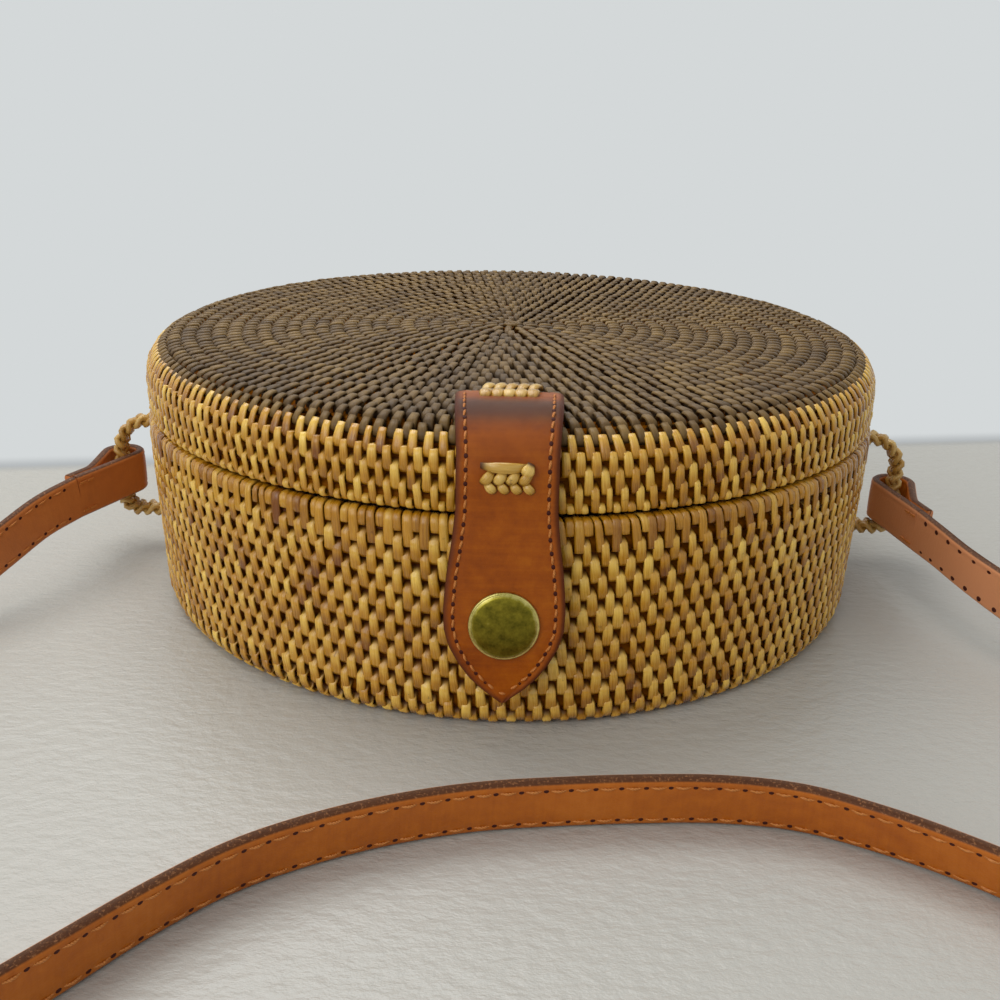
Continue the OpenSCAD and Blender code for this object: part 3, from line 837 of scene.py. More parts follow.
def smooth_path(stops: Sequence[Vector], step: float) -> list[Vector]:
    """A smooth curve through stops.

    Args:
        stops: What it passes through; a fourth part is carried along.
        step: How far apart its points are to be.

    Returns:
        Its points.
    """
    ends = [stops[0] * 2 - stops[1], *stops, stops[-1] * 2 - stops[-2]]
    dense = []
    for before, start, end, after in zip(ends, ends[1:], ends[2:], ends[3:]):
        for t in np.arange(PARTS_BETWEEN_STOPS) / PARTS_BETWEEN_STOPS:
            dense.append(
                start
                + (end - before) * (0.5 * t)
                + (before * 2 - start * 5 + end * 4 - after) * (0.5 * t * t)
                + (start * 3 - before - end * 3 + after) * (0.5 * t * t * t)
            )
    dense.append(stops[-1].copy())
    rows = np.array(dense)
    run = run_along(rows[:, :3])
    count = max(2, round(run[-1] / step))
    at = np.linspace(0.0, run[-1], count + 1)
    return [Vector([np.interp(s, run, rows[:, axis]) for axis in range(rows.shape[1])]) for s in at]


def frames_along(path: Sequence[Vector], up: Vector) -> list[tuple[Vector, Vector, Vector]]:
    """Frames along a path that turn as little as they can.

    Args:
        path: The path.
        up: Which way is up at its start.

    Returns:
        The point, its side and its up, for each point of the path.
    """
    made = []
    rise = up
    for index, spot in enumerate(path):
        ahead = heading(path, index)
        rise = (rise - ahead * rise.dot(ahead)).normalized()
        made.append((spot, ahead.cross(rise).normalized(), rise))
    return made


def strand_round(path: Sequence[Vector], width: float, height: float, up: Vector) -> bpy.types.Mesh:
    """One round strand that follows a path.

    Args:
        path: Its middle line.
        width: How wide it is.
        height: How thick it is.
        up: Which way its thickness goes at the start.

    Returns:
        The mesh, with its fibre kept for the rattan finish.
    """
    frames = frames_along(path, up)
    spans = len(frames) - 1

    def place(turn: float, ring: int) -> Vector:
        """A point of the strand's ring, drawn in a little at both ends.

        Args:
            turn: How far round the ring, 0 to 1.
            ring: The ring's number.

        Returns:
            The point.
        """
        spot, side, rise = frames[ring]
        slim = STRAND_TIP if ring in (0, spans) else 1.0
        wide = math.cos(turn * TURN) * width * 0.5 * slim
        tall = math.sin(turn * TURN) * height * 0.5 * slim
        return spot + side * wide + rise * tall

    mesh = to_mesh(tube(STRAND_SIDES, spans, place))
    rows = points(mesh)
    spots, sides, _ = columns(frames)
    number, _ = nearest(rows, spots)
    across = ((rows - spots[number]) * sides[number]).sum(axis=1)
    along = number * (path_length(path) / spans)
    give(mesh, "fibre", np.stack([across, along, np.full(len(rows), width)], axis=1))
    return mesh


def joined(meshes: Sequence[bpy.types.Mesh]) -> bpy.types.Mesh:
    """Join meshes.

    Args:
        meshes: The meshes, which are used up.

    Returns:
        One mesh, with their attributes kept.
    """
    bm = bmesh.new()
    for mesh in meshes:
        bm.from_mesh(mesh)
        bpy.data.meshes.remove(mesh)
    return to_mesh(bm)


# Studio


@dataclass(frozen=True)
class Studio:
    """The camera at the photograph's place, the pale table and the soft lamps."""

    eye: Vector = field(default_factory=lambda: Vector((0.0, -0.3056, 0.1352)))
    pitch: float = math.radians(21.32)
    yaw: float = math.radians(-0.40)
    roll: float = math.radians(1.30)
    lens: float = 38.88
    sensor: float = 36.0
    near: float = 0.01
    floor_size: float = 6.0
    sky: Colour = (224, 228, 232)
    sky_strength: float = 0.65
    # Each lamp's name, place, width and power, and where all of them point
    lamps: tuple[tuple[str, tuple[float, float, float], float, float], ...] = (
        ("lamp_over", (-0.3, 0.4, 1.05), 0.9, 8.0),
        ("lamp_front", (-0.6, -0.8, 0.6), 0.8, 4.5),
    )
    target: tuple[float, float, float] = (0.0, 0.0, 0.03)

    def build(self) -> None:
        """Set up the whole studio."""
        self.set_camera()
        self.lay_floor()
        self.hang_lamps()

    def set_camera(self) -> None:
        """Put the camera where the photograph was taken from."""
        ahead = Vector(
            (
                math.sin(self.yaw) * math.cos(self.pitch),
                math.cos(self.yaw) * math.cos(self.pitch),
                -math.sin(self.pitch),
            )
        )
        right = Vector((math.cos(self.yaw), -math.sin(self.yaw), 0.0))
        rise = right.cross(ahead)
        side = right * math.cos(self.roll) + rise * math.sin(self.roll)
        up = rise * math.cos(self.roll) - right * math.sin(self.roll)
        data = bpy.data.cameras.new("camera")
        data.lens = self.lens
        data.sensor_width = self.sensor
        data.clip_start = self.near
        camera = bpy.data.objects.new("camera", data)
        turn = Matrix((side, up, -ahead)).transposed().to_4x4()
        camera.matrix_world = Matrix.Translation(self.eye) @ turn
        bpy.context.scene.collection.objects.link(camera)
        bpy.context.scene.camera = camera

    def lay_floor(self) -> None:
        """Lay the table top."""
        bm = bmesh.new()
        bmesh.ops.create_grid(bm, x_segments=4, y_segments=4, size=self.floor_size / 2)
        floor = bpy.data.objects.new("table", to_mesh(bm))
        floor.data.materials.append(TableFinish("table_top").paint())
        bpy.context.scene.collection.objects.link(floor)

    def hang_lamps(self) -> None:
        """Hang a broad soft lamp overhead and a weaker one in front, and let the sky fill the rest."""
        world = bpy.data.worlds.new("sky")
        world.use_nodes = True
        nodes, links = world.node_tree.nodes, world.node_tree.links
        sky = nodes["Background"]
        sky.inputs["Color"].default_value = shade(*self.sky)
        sky.inputs["Strength"].default_value = self.sky_strength
        seen = nodes.new("ShaderNodeBackground")
        seen.inputs["Color"].default_value = shade(*WALL_COLOUR)
        path = nodes.new("ShaderNodeLightPath")
        mixed = nodes.new("ShaderNodeMixShader")
        share = path.outputs["Is Camera Ray"]
        for kind in BACKDROP_RAYS[1:]:
            either = nodes.new("ShaderNodeMath")
            either.operation = "MAXIMUM"
            links.new(share, either.inputs[0])
            links.new(path.outputs[f"Is {kind} Ray"], either.inputs[1])
            share = either.outputs[0]
        links.new(share, mixed.inputs[0])
        links.new(sky.outputs[0], mixed.inputs[1])
        links.new(seen.outputs[0], mixed.inputs[2])
        links.new(mixed.outputs[0], nodes["World Output"].inputs["Surface"])
        bpy.context.scene.world = world
        for name, spot, size, power in self.lamps:
            data = bpy.data.lights.new(name, "AREA")
            data.size = size
            data.energy = power
            lamp = bpy.data.objects.new(name, data)
            lamp.location = spot
            aim = Vector(self.target) - Vector(spot)
            lamp.rotation_euler = aim.to_track_quat("-Z", "Y").to_euler()
            bpy.context.scene.collection.objects.link(lamp)


# Sewing


@dataclass(frozen=True)
class Seam:
    """What a seam is made of: stitches of waxed thread, and the needle holes between them."""

    pitch: float
    share: float = 0.62
    wide: float = 0.3 * MM
    tall: float = 0.26 * MM
    hump: float = 0.34 * MM
    sunk: float = 0.12 * MM
    sides: int = 6
    spans: int = 5
    # The hole's half section in millimetres: a faint rim round a sunken middle
    dent: tuple[tuple[float, float], ...] = ((0.0, 0.1), (0.3, 0.12), (0.52, 0.03), (0.4, -0.2), (0.0, -0.2))

    def stitch(self) -> bmesh.types.BMesh:
        """One stitch, along X on the plane: a fat thread that dives at both ends.

        Returns:
            The stitch.
        """
        length = self.pitch * self.share

        def place(turn: float, ring: int) -> Vector:
            """A point of the thread.

            Args:
                turn: How far round the ring, 0 to 1.
                ring: The ring's number.

            Returns:
                The point.
            """
            part = ring / self.spans
            slim = math.sin(math.pi * min(max(part, 0.1), 0.9)) ** 0.35
            angle = turn * TURN
            lift = self.hump * math.sin(math.pi * part) - self.sunk
            wide = math.cos(angle) * self.wide * slim
            return Vector((length * (part - 0.5), wide, math.sin(angle) * self.tall * slim + lift))

        return tube(self.sides, self.spans, place)

    def hole(self) -> bmesh.types.BMesh:
        """One needle hole, a small dark dent."""
        return turned([(radius * MM, level * MM) for radius, level in self.dent], 8)


# Strap


@dataclass
class Strap:
    """The shoulder strap: one long band on its edge, folded round a braided loop at each end."""

    width: float = 12.2 * MM
    thickness: float = 2.6 * MM
    step: float = 2.4 * MM
    row_in: float = 1.7 * MM
    pitch: float = 4.8 * MM
    pitch_spread: float = 0.03
    flesh_hole: float = 1.4
    line: float = 5.0 * MM
    flesh_down: float = 0.3 * MM
    sewn_at: float = 0.47
    alike: float = 150.0 * MM
    alike_fade: float = 50.0 * MM
    fold_close: float = 16.0 * MM
    fold_length: float = 24.0 * MM
    fold_step: float = 1.2 * MM
    fold_angle: float = 64.0
    fold_steps: int = 14
    # Each point of the strap's middle line, and how far the band leans there, in degrees
    route: tuple[tuple[float, float, float, float], ...] = (
        (-0.120944, -0.023959, 0.023, 0), (-0.1265, -0.0355, 0.0215, 0), (-0.1325, -0.047, 0.0175, 0),
        (-0.14, -0.0595, 0.0125, 0), (-0.149, -0.073, 0.009, 0), (-0.1595, -0.0875, 0.0068, 0),
        (-0.1705, -0.103, 0.0063, 0), (-0.1815, -0.1195, 0.0063, 0), (-0.191, -0.137, 0.0063, 0),
        (-0.198, -0.1555, 0.0063, 0), (-0.2015, -0.175, 0.0063, 0), (-0.2005, -0.195, 0.0063, 0),
        (-0.1945, -0.214, 0.0063, 0), (-0.183, -0.2305, 0.0063, 0), (-0.167, -0.242, 0.0063, 0),
        (-0.1485, -0.2465, 0.0063, 0), (-0.13, -0.243, 0.0063, 0), (-0.114, -0.2325, 0.0063, 2),
        (-0.101, -0.219, 0.0063, 4), (-0.0895, -0.2045, 0.0063, 6), (-0.0785, -0.1905, 0.0063, 8),
        (-0.0675, -0.177, 0.0063, 10), (-0.057, -0.1645, 0.0063, 12), (-0.046, -0.154, 0.0063, 12),
        (-0.033, -0.146, 0.0063, 12), (-0.019, -0.14, 0.0063, 12), (-0.004, -0.1358, 0.0063, 12),
        (0.012, -0.1335, 0.0063, 12), (0.028, -0.132, 0.0063, 12), (0.043, -0.1315, 0.0063, 13),
        (0.058, -0.1335, 0.0063, 15), (0.072, -0.1396, 0.0063, 17), (0.0845, -0.1472, 0.0063, 19),
        (0.0965, -0.1564, 0.0063, 18), (0.109, -0.166, 0.0063, 15), (0.122, -0.175, 0.0063, 11),
        (0.1355, -0.184, 0.0063, 7), (0.1495, -0.192, 0.0063, 3), (0.165, -0.1965, 0.0063, 0),
        (0.181, -0.194, 0.0063, 0), (0.194, -0.1845, 0.0063, 0), (0.202, -0.1705, 0.0063, 0),
        (0.204, -0.154, 0.0063, 0), (0.2005, -0.1375, 0.0063, 0), (0.193, -0.1225, 0.0063, 0),
        (0.1825, -0.109, 0.0063, 0), (0.17, -0.0975, 0.0066, 0), (0.1565, -0.0875, 0.008, 0),
        (0.144, -0.0775, 0.0102, 0), (0.134, -0.067, 0.0128, 0), (0.1265, -0.0555, 0.0154, -4),
        (0.1212, -0.045, 0.0175, -6), (0.1178, -0.0348, 0.019, -4), (0.115421, -0.024513, 0.0195, 0),
    )

    def build(self, finishes: Finishes) -> None:
        """Build the band, its two folded ends and all their stitching.

        Args:
            finishes: The bag's materials.
        """
        stations = self.stations()
        path = [station[0] for station in stations]
        length = path_length(path)
        mesh = self.band(stations, 1.0, self.alike)
        band = piece("strap_band", mesh, finishes.strap, Slot.STRAP_LEATHER, Body.BASE, ["strap"])
        seam = Seam(self.pitch)
        mesh = self.sewing(stations, seam.stitch(), 0.5)
        stitches = piece("strap_band_thread", mesh, finishes.thread, Slot.THREAD, Body.BASE)
        mesh = self.sewing(stations, seam.hole(), 0.0)
        holes = piece("strap_band_holes", mesh, finishes.hole, Slot.STRAP_LEATHER, Body.BASE)
        ends = [
            ("left", Vector((-0.11575, 0, 0.023)), 246.0, 1.0, self.alike),
            ("right", Vector((0.11575, 0, 0.0195)), 281.0, -1.0, 0.0),
        ]
        for name, bar, turn, side, alike in ends:
            self.folded_end(finishes, name, bar, math.radians(turn), side, alike)

    def stations(self) -> list[tuple[Vector, Vector, Vector]]:
        """The band's middle points with the direction of its upper edge and of its grain side.

        Returns:
            The point and the two directions of each station.
        """
        stops = smooth_path([Vector(stop) for stop in self.route], self.step)
        made = []
        for index, stop in enumerate(stops):
            ahead = heading(stops, index)
            level = (UP - ahead * ahead.z).normalized()
            out = ahead.cross(level)
            lean = math.radians(stop[3])
            up = level * math.cos(lean) + out * math.sin(lean)
            made.append((stop.to_3d(), up, out * math.cos(lean) - level * math.sin(lean)))
        return made

    def section(self) -> list[tuple[float, float]]:
        """The band's cut: rounded edges, and a shallow groove under each row of stitches.

        Returns:
            Its points as (across, height), round the cut.
        """
        half = self.width / 2
        thick = self.thickness / 2
        groove = half - self.row_in
        face = [(half - 0.5 * MM, 0.9), (groove + 0.5 * MM, 1.0), (groove, 0.93), (groove - 0.6 * MM, 1.0)]
        face += [(half * 0.35, 1.03), (0.0, 1.04)]
        upper = [(across, share * thick) for across, share in face]
        upper += [(-across, share * thick) for across, share in reversed(face[:-1])]
        edge = [(-half, thick * 0.45), (-half, -thick * 0.45)]
        lower = [(across, -height) for across, height in reversed(upper)]
        return [(half, thick * 0.45), *upper, *edge, *lower, (half, -thick * 0.45)]

    def band(
        self, stations: Sequence[tuple[Vector, Vector, Vector]], grain: float, alike: float
    ) -> bpy.types.Mesh:
        """A band swept along stations, with its lay and rim kept for the leather finish.

        Args:
            stations: Its middle points, with the directions of its upper edge and of its face.
            grain: 1 where the face is the grain side, -1 where it is the flesh side.
            alike: How far from its start both faces look alike, the grain side rubbed dull.

        Returns:
            The mesh.
        """
        section = self.section()
        sides = len(section)

        def place(turn: float, ring: int) -> Vector:
            """A point of the band's cut.

            Args:
                turn: How far round the ring, 0 to 1.
                ring: The ring's number.

            Returns:
                The point.
            """
            across, height = section[round(turn * sides) % sides]
            spot, up, out = stations[ring]
            return spot + up * across + out * height

        mesh = to_mesh(tube(sides, len(stations) - 1, place))
        rows = points(mesh)
        spots, ups, outs = columns(stations)
        number, _ = nearest(rows, spots)
        run = run_along(spots)[number]
        across = ((rows - spots[number]) * ups[number]).sum(axis=1)
        facing = ((rows - spots[number]) * outs[number]).sum(axis=1) * grain
        near = np.clip((alike - run) / self.alike_fade, 0, 1)
        flesh = (facing < -self.flesh_down) * (1 - near) + 0.5 * near
        give(mesh, "lay", np.stack([across, run, flesh], axis=1))
        give(mesh, "rim", self.width / 2 - np.abs(across))
        return mesh

    def sewing(
        self, stations: Sequence[tuple[Vector, Vector, Vector]], unit: bmesh.types.BMesh, shift: float
    ) -> bpy.types.Mesh:
        """Copies of a unit in the rows of the band, two on each face.

        Args:
            stations: The band's stations.
            unit: The stitch or the hole, along X on the plane.
            shift: Where in each pitch it goes.

        Returns:
            The mesh of all of them.
        """
        rng = np.random.default_rng(11)
        spots, ups, outs = columns(stations)
        run = run_along(spots)
        count = int(path_length([station[0] for station in stations]) / self.pitch) - 1
        frames = []
        for face in (1.0, -1.0):
            for side in (1.0, -1.0):
                for index in range(count):
                    at = (index + 1 + shift + rng.normal(0, self.pitch_spread)) * self.pitch
                    if at > run[-1] - 1 * MM or (face < 0 and shift and at > self.alike):
                        continue
                    spot = np.array([np.interp(at, run, spots[:, axis]) for axis in range(3)])
                    here = int(np.searchsorted(run, at)) - 1
                    ahead = spots[here + 1] - spots[here]
                    ahead /= np.linalg.norm(ahead)
                    up, out = ups[here], outs[here] * face
                    across = np.cross(out, ahead)
                    place = spot + up * side * (self.width / 2 - self.row_in)
                    place = place + out * self.thickness * self.sewn_at
                    wide = self.flesh_hole if face < 0 and at > self.alike else 1.0
                    frames.append((ahead * wide, across * wide, out, place))
        return scattered(unit, frames)

    def folded_end(
        self, finishes: Finishes, name: str, bar: Vector, turn: float, side: float, alike: float
    ) -> None:
        """Build the loop of strap round one braid, and the short layer that is sewn back on it.

        Args:
            finishes: The bag's materials.
            name: Which end it is, left or right.
            bar: The middle of the braid that it hangs on.
            turn: Which way it leaves the braid, seen from above.
            side: 1 where it closes on its left, -1 where it closes on its right.
            alike: How far from its start both faces look alike.
        """
        radius = self.line
        lower = self.line - self.thickness
        close = -math.radians(self.fold_angle)
        flat = [(self.fold_length, lower), (self.fold_close + 3 * MM, lower)]
        flat.append((self.fold_close - 1.5 * MM, lower * 0.72))
        for index in range(self.fold_steps + 1):
            angle = close - (math.pi * 1.5 + close) * index / self.fold_steps
            flat.append((radius * math.cos(angle), radius * math.sin(angle)))
        flat += [(self.fold_length * share, radius) for share in (0.33, 0.66, 1.0)]
        across, along = math.sin(turn), math.cos(turn)

        def place(x: float, y: float) -> Vector:
            """A point of the fold's plan in the bag's frame."""
            y *= side
            return bar + Vector((x * along - y * across, x * across + y * along, 0))

        path = smooth_path([place(x, y) for x, y in flat], self.fold_step)
        stations = [(spot, UP, heading(path, index).cross(UP) * side) for index, spot in enumerate(path)]
        piece(
            f"{name}_strap_fold", self.band(stations, -side, alike), finishes.strap, Slot.STRAP_LEATHER,
            Body.BASE, [f"{name}_strap_end"],
        )


def scattered(unit: bmesh.types.BMesh, frames: Sequence[tuple]) -> bpy.types.Mesh:
    """Copies of a unit, each in a frame of its own.

    Args:
        unit: The shape that is repeated.
        frames: For each copy, its X, Y and Z directions and its place.

    Returns:
        One mesh of all the copies.
    """
    mesh, shape = copies(unit, len(frames))
    rows = []
    for x, y, z, spot in frames:
        turn = np.array([np.array(x, float), np.array(y, float), np.array(z, float)])
        rows.append(shape @ turn + np.array(spot, float))
    set_points(mesh, np.concatenate(rows))
    return mesh


# Weave


@dataclass
class Row:
    """One row of strands: where they start on the outline, how long they run and how many there are."""

    start: float
    length: float
    count: int
    phase: float
    width: float
    lift: float = 0.0
    tint: float = 0.5


@dataclass
class Outline:
    """A woven wall's half section, measured along its own length from its first point."""

    stops: list[tuple[float, float]]

    def __post_init__(self) -> None:
        """Measure the outline and find which way it faces."""
        rows = np.array(self.stops)
        run = run_along(rows)
        self.length = float(run[-1])
        self.run = np.linspace(0.0, self.length, int(self.length / OUTLINE_STEP))
        self.radius = np.interp(self.run, run, rows[:, 0])
        self.height = np.interp(self.run, run, rows[:, 1])
        slope_r = np.gradient(self.radius, self.run)
        slope_z = np.gradient(self.height, self.run)
        size = np.hypot(slope_r, slope_z)
        self.out_r = -slope_z / size
        self.out_z = slope_r / size

    def at(self, run: np.ndarray) -> tuple[np.ndarray, np.ndarray, np.ndarray, np.ndarray]:
        """Look up lengths along the outline.

        Args:
            run: The lengths.

        Returns:
            The radius, the height and the two parts of the outward direction at each.
        """
        measures = (self.radius, self.height, self.out_r, self.out_z)
        return tuple(np.interp(run, self.run, measure) for measure in measures)

    def run_at(self, height: float, first: float = 0.0, last: float = 1.0) -> float:
        """Find a height on the outline.

        Args:
            height: The height.
            first: The share of its length where the search starts.
            last: The share where it ends.

        Returns:
            The length along the outline there.
        """
        low, high = int(first * len(self.run)), int(last * len(self.run))
        return float(self.run[low + int(np.argmin(np.abs(self.height[low:high] - height)))])


def arc(centre: tuple[float, float], radius: float, first: float, last: float) -> list[tuple[float, float]]:
    """Points round a corner.

    Args:
        centre: Its middle.
        radius: Its radius.
        first: The angle that it starts from, in degrees.
        last: The angle that it goes to.

    Returns:
        Ten points.
    """
    angles = [math.radians(angle) for angle in np.linspace(first, last, 10)]
    return [(centre[0] + radius * math.cos(turn), centre[1] + radius * math.sin(turn)) for turn in angles]


# The cut of a strand: a flat tape with soft shoulders, and a plainer one for the finer rows
WIDE_CUT = (
    (-1.0, -0.2), (-0.8, 0.62), (-0.35, 1.0), (0.35, 1.0),
    (0.8, 0.62), (1.0, -0.2), (0.6, -1.0), (-0.6, -1.0),
)
FINE_CUT = ((-1.0, -0.3), (-0.66, 0.85), (0.66, 0.85), (1.0, -0.3), (0.6, -1.0), (-0.6, -1.0))


@dataclass
class Weave:
    """Rows of flat rattan strands that lap over cores, each row half a strand round from the last."""

    outline: Outline
    rows: list[Row]
    seed: int
    sink: float = 2.3 * MM
    tape: float = 0.75 * MM
    lean: float = 0.03
    side_lean: float = 0.17
    spans: int = 7
    cut: tuple[tuple[float, float], ...] = WIDE_CUT
    rise: float = 1.3 * MM
    fall: float = 0.8 * MM
    bulge: float = 0.3 * MM
    bulge_at: float = 2.2 * MM
    bulge_width: float = 1.1 * MM
    # A painted highlight near each strand's top, and painted shade towards its lower end, both added to its
    # tint
    painted_light: float = 0.4
    strand_highlight_at: float = 2.4 * MM
    strand_highlight_width: float = 1.2 * MM
    end_shade: float = 0.3
    # How much painted shade falls along each strand's shoulders
    shoulder_shade: float = 0.42
    # The width along a strand, as (share of its length, share of its width)
    widths: tuple[tuple[float, float], ...] = (
        (0.0, 0.82), (0.45, 0.86), (0.75, 1.0), (0.95, 1.0), (1.0, 0.96),
    )
    # How much the strands vary
    start_spread: float = 0.1 * MM
    length_spread: float = 0.12 * MM
    angle_spread: float = 0.03
    width_spread: float = 0.05
    lift_spread: float = 0.06 * MM
    tint_spread: float = 0.2
    slant_spread: float = 0.04
    thin_share: float = 0.05
    thin_width: float = 0.8

    def unit(self) -> bmesh.types.BMesh:
        """One strand in its own terms: X across, Y along from 0 to 1, Z through its cut.

        Returns:
            The strand.
        """

        def place(turn: float, ring: int) -> Vector:
            """A point of the strand before it is laid, its rings crowded at both ends."""
            x, z = self.cut[round(turn * len(self.cut)) % len(self.cut)]
            return Vector((x, 0.5 - 0.5 * math.cos(math.pi * ring / self.spans), z))

        return tube(len(self.cut), self.spans, place)

    def build(self) -> bpy.types.Mesh:
        """Lay every strand of every row.

        Returns:
            The mesh of all of them.
        """
        rng = np.random.default_rng(self.seed)
        start, length, angle, width, lift, tint = [], [], [], [], [], []
        for row in self.rows:
            count = row.count
            start.append(row.start + rng.normal(0, self.start_spread, count))
            length.append(row.length + rng.normal(0, self.length_spread, count))
            places = np.arange(count) + row.phase + rng.normal(0, self.angle_spread, count)
            angle.append(places * TURN / count)
            thin = np.where(rng.random(count) < self.thin_share, self.thin_width, 1.0)
            width.append(row.width * thin * rng.normal(1.0, self.width_spread, count))
            lift.append(row.lift + rng.normal(0, self.lift_spread, count))
            tint.append(np.clip(rng.normal(row.tint, self.tint_spread, count), 0, 1))
        start, length, angle, width, lift, tint = (
            np.concatenate(part) for part in (start, length, angle, width, lift, tint)
        )
        total = len(start)
        mesh, shape = copies(self.unit(), total)
        side, along, rise = (shape[None, :, axis] for axis in range(3))
        length = length[:, None]
        done, left = along * length, (1 - along) * length
        climb = np.clip(done / self.rise, 0, 1)
        drop = np.clip(left / self.fall, 0, 1)
        body = climb * climb * (3 - 2 * climb) * (1 - (1 - drop) ** 2.2)
        spread = np.interp(along, *zip(*self.widths))
        slant = self.lean + self.side_lean * np.clip(np.cos(angle + 0.5), 0, 1) ** 2
        slant = slant + rng.normal(0, self.slant_spread, total)
        cross = side * spread * width[:, None] / 2
        sway = (along - 0.5) * length * slant[:, None]
        hump = self.bulge * np.exp(-(((done - self.bulge_at) / self.bulge_width) ** 2)) - self.bulge / 2
        depth = hump - self.sink * (1 - body) + (rise - 1) * self.tape / 2 + lift[:, None]
        radius, level, out_r, out_z = self.outline.at(start[:, None] + done)
        far = radius + out_r * depth
        turn = angle[:, None] + (cross + sway) / np.maximum(radius, 3 * MM)
        rows = np.stack([far * np.cos(turn), far * np.sin(turn), level + out_z * depth], axis=2)
        set_points(mesh, rows.reshape(-1, 3))
        # Painted highlight near the top of each strand and painted shade towards its lower end, carried in
        # its tint
        painted_light = self.painted_light * np.exp(-(((done - self.strand_highlight_at) / self.strand_highlight_width) ** 2)) - self.end_shade * along
        give(mesh, "tint", (tint[:, None] + painted_light).ravel())
        # Painted shade where the strand dives under, and along its shoulders, kept as its dip
        shade_depth = np.maximum(1 - body, self.shoulder_shade * np.abs(side) ** 4)
        give(mesh, "dip", shade_depth.ravel())
        seed = np.repeat(rng.random(total) * 90, shape.shape[0])
        give(mesh, "fibre", np.stack([cross.ravel() + seed, done.ravel() + seed * 3, seed], axis=1))
        face_out(mesh)
        return mesh


@dataclass
class CoreBed:
    """The dark coiled cores under the strands, as one turned body."""

    outline: Outline
    inner: list[tuple[float, float]]
    first: float
    pitch: float
    crest: float = 1.5 * MM
    groove: float = 2.6 * MM
    tint: float = 0.4
    # How deep the cores lie, painted by the finish as shade
    dip: float = 0.3
    steps: int = 120

    def build(self) -> bpy.types.Mesh:
        """Turn the ridged outline and close it with the inner wall.

        Returns:
            The mesh.
        """
        count = int(self.outline.length / self.pitch * 4)
        run = np.linspace(0.0, self.outline.length, count)
        ridge = 0.5 + 0.5 * np.cos((run - self.first) / self.pitch * TURN)
        depth = self.groove + (self.crest - self.groove) * ridge
        radius, level, out_r, out_z = self.outline.at(run)
        far, level = np.maximum(radius - out_r * depth, 0.0), level - out_z * depth
        outer = list(zip(far.tolist(), level.tolist()))
        bed = turned([*outer, *self.inner], self.steps, closed=True)
        mesh = toned(to_mesh(bed), self.tint, self.dip)
        rows = points(mesh)
        angle = np.arctan2(rows[:, 1], rows[:, 0])
        give(mesh, "fibre", np.stack([rows[:, 2], np.abs(angle) * 0.1, np.ones(len(rows))], axis=1))
        return mesh


@dataclass
class BaseWeave:
    """The woven base: its rim, wall, foot and floor."""

    rim_r: float = 100.9 * MM
    foot_r: float = 99.4 * MM
    cavity_r: float = 96.2 * MM
    rim_top: float = 50.9 * MM
    wall_top: float = 46.5 * MM
    floor_top: float = 4.2 * MM
    hoop: float = 1.8 * MM
    foot: float = 4.0 * MM
    wall_count: int = 157
    pitch: float = 3.93 * MM
    first_bottom: float = 42.9 * MM
    across: float = 4.0 * MM
    reach: float = 7.2 * MM
    strand: float = 2.7 * MM
    lip: float = 46.0 * MM
    bed_gap: float = 0.15 * MM

    def outline(self) -> Outline:
        """From inside the rim, over it, down the wall, round the foot and in to the middle.

        Returns:
            The outline.
        """
        inner = self.cavity_r + 0.2 * MM
        foot_r = self.foot_r + (self.rim_r - self.foot_r) * self.foot / self.wall_top
        return Outline(
            [
                (inner, self.lip),
                *arc((inner + self.hoop, self.rim_top - self.hoop), self.hoop, 180, 90),
                *arc((self.rim_r - self.hoop, self.rim_top - self.hoop), self.hoop, 90, 0),
                (self.rim_r, self.wall_top),
                *arc((foot_r - self.foot, self.foot), self.foot, 0, -90),
                (0.0, 0.0),
            ]
        )

    def build(self, finishes: Finishes) -> None:
        """Weave the base.

        Args:
            finishes: The bag's materials.
        """
        outline = self.outline()
        low = outline.run_at(self.first_bottom, 0.05, 0.5)
        rim = [
            Row(0.4 * MM, low - self.pitch + 0.2 * MM, self.wall_count, 0.0, 2.1 * MM, -0.1 * MM),
            Row(0.4 * MM, low + 0.2 * MM, self.wall_count, 0.5, 2.3 * MM, 0.0),
        ]
        wall, floor = [], []
        bottom = low + self.pitch
        phase = 0.0
        while bottom < outline.length - 2.0 * MM:
            radius = float(outline.at(np.array([bottom - 3 * MM]))[0][0])
            on_wall = bottom < outline.run_at(self.foot * 0.3, 0.2, 0.5)
            count = self.wall_count if on_wall else max(5, round(TURN * radius / self.across))
            row = Row(bottom - self.reach, self.reach, count, phase, self.strand)
            (wall if on_wall else floor).append(row)
            phase = 0.5 - phase
            bottom += self.pitch
        back = self.cavity_r + self.bed_gap
        level = self.floor_top - 0.1 * MM
        bed = CoreBed(outline, [(0.0, level), (back, level), (back, self.lip)], low - 1.5 * MM, self.pitch)
        weaves = [
            ("base_rim_weave", Weave(outline, rim, 21, spans=14), "base_rim_hoop"),
            ("base_wall_weave", Weave(outline, wall, 22), "base_shell"),
            ("base_floor_weave", Weave(outline, floor, 23, cut=FINE_CUT), "base_shell"),
        ]
        for name, weave, node in weaves:
            piece(name, weave.build(), finishes.wall, Slot.RATTAN, Body.BASE, [node])
        piece("base_cores", bed.build(), finishes.core, Slot.DARK_RATTAN, Body.BASE, ["base_shell"])


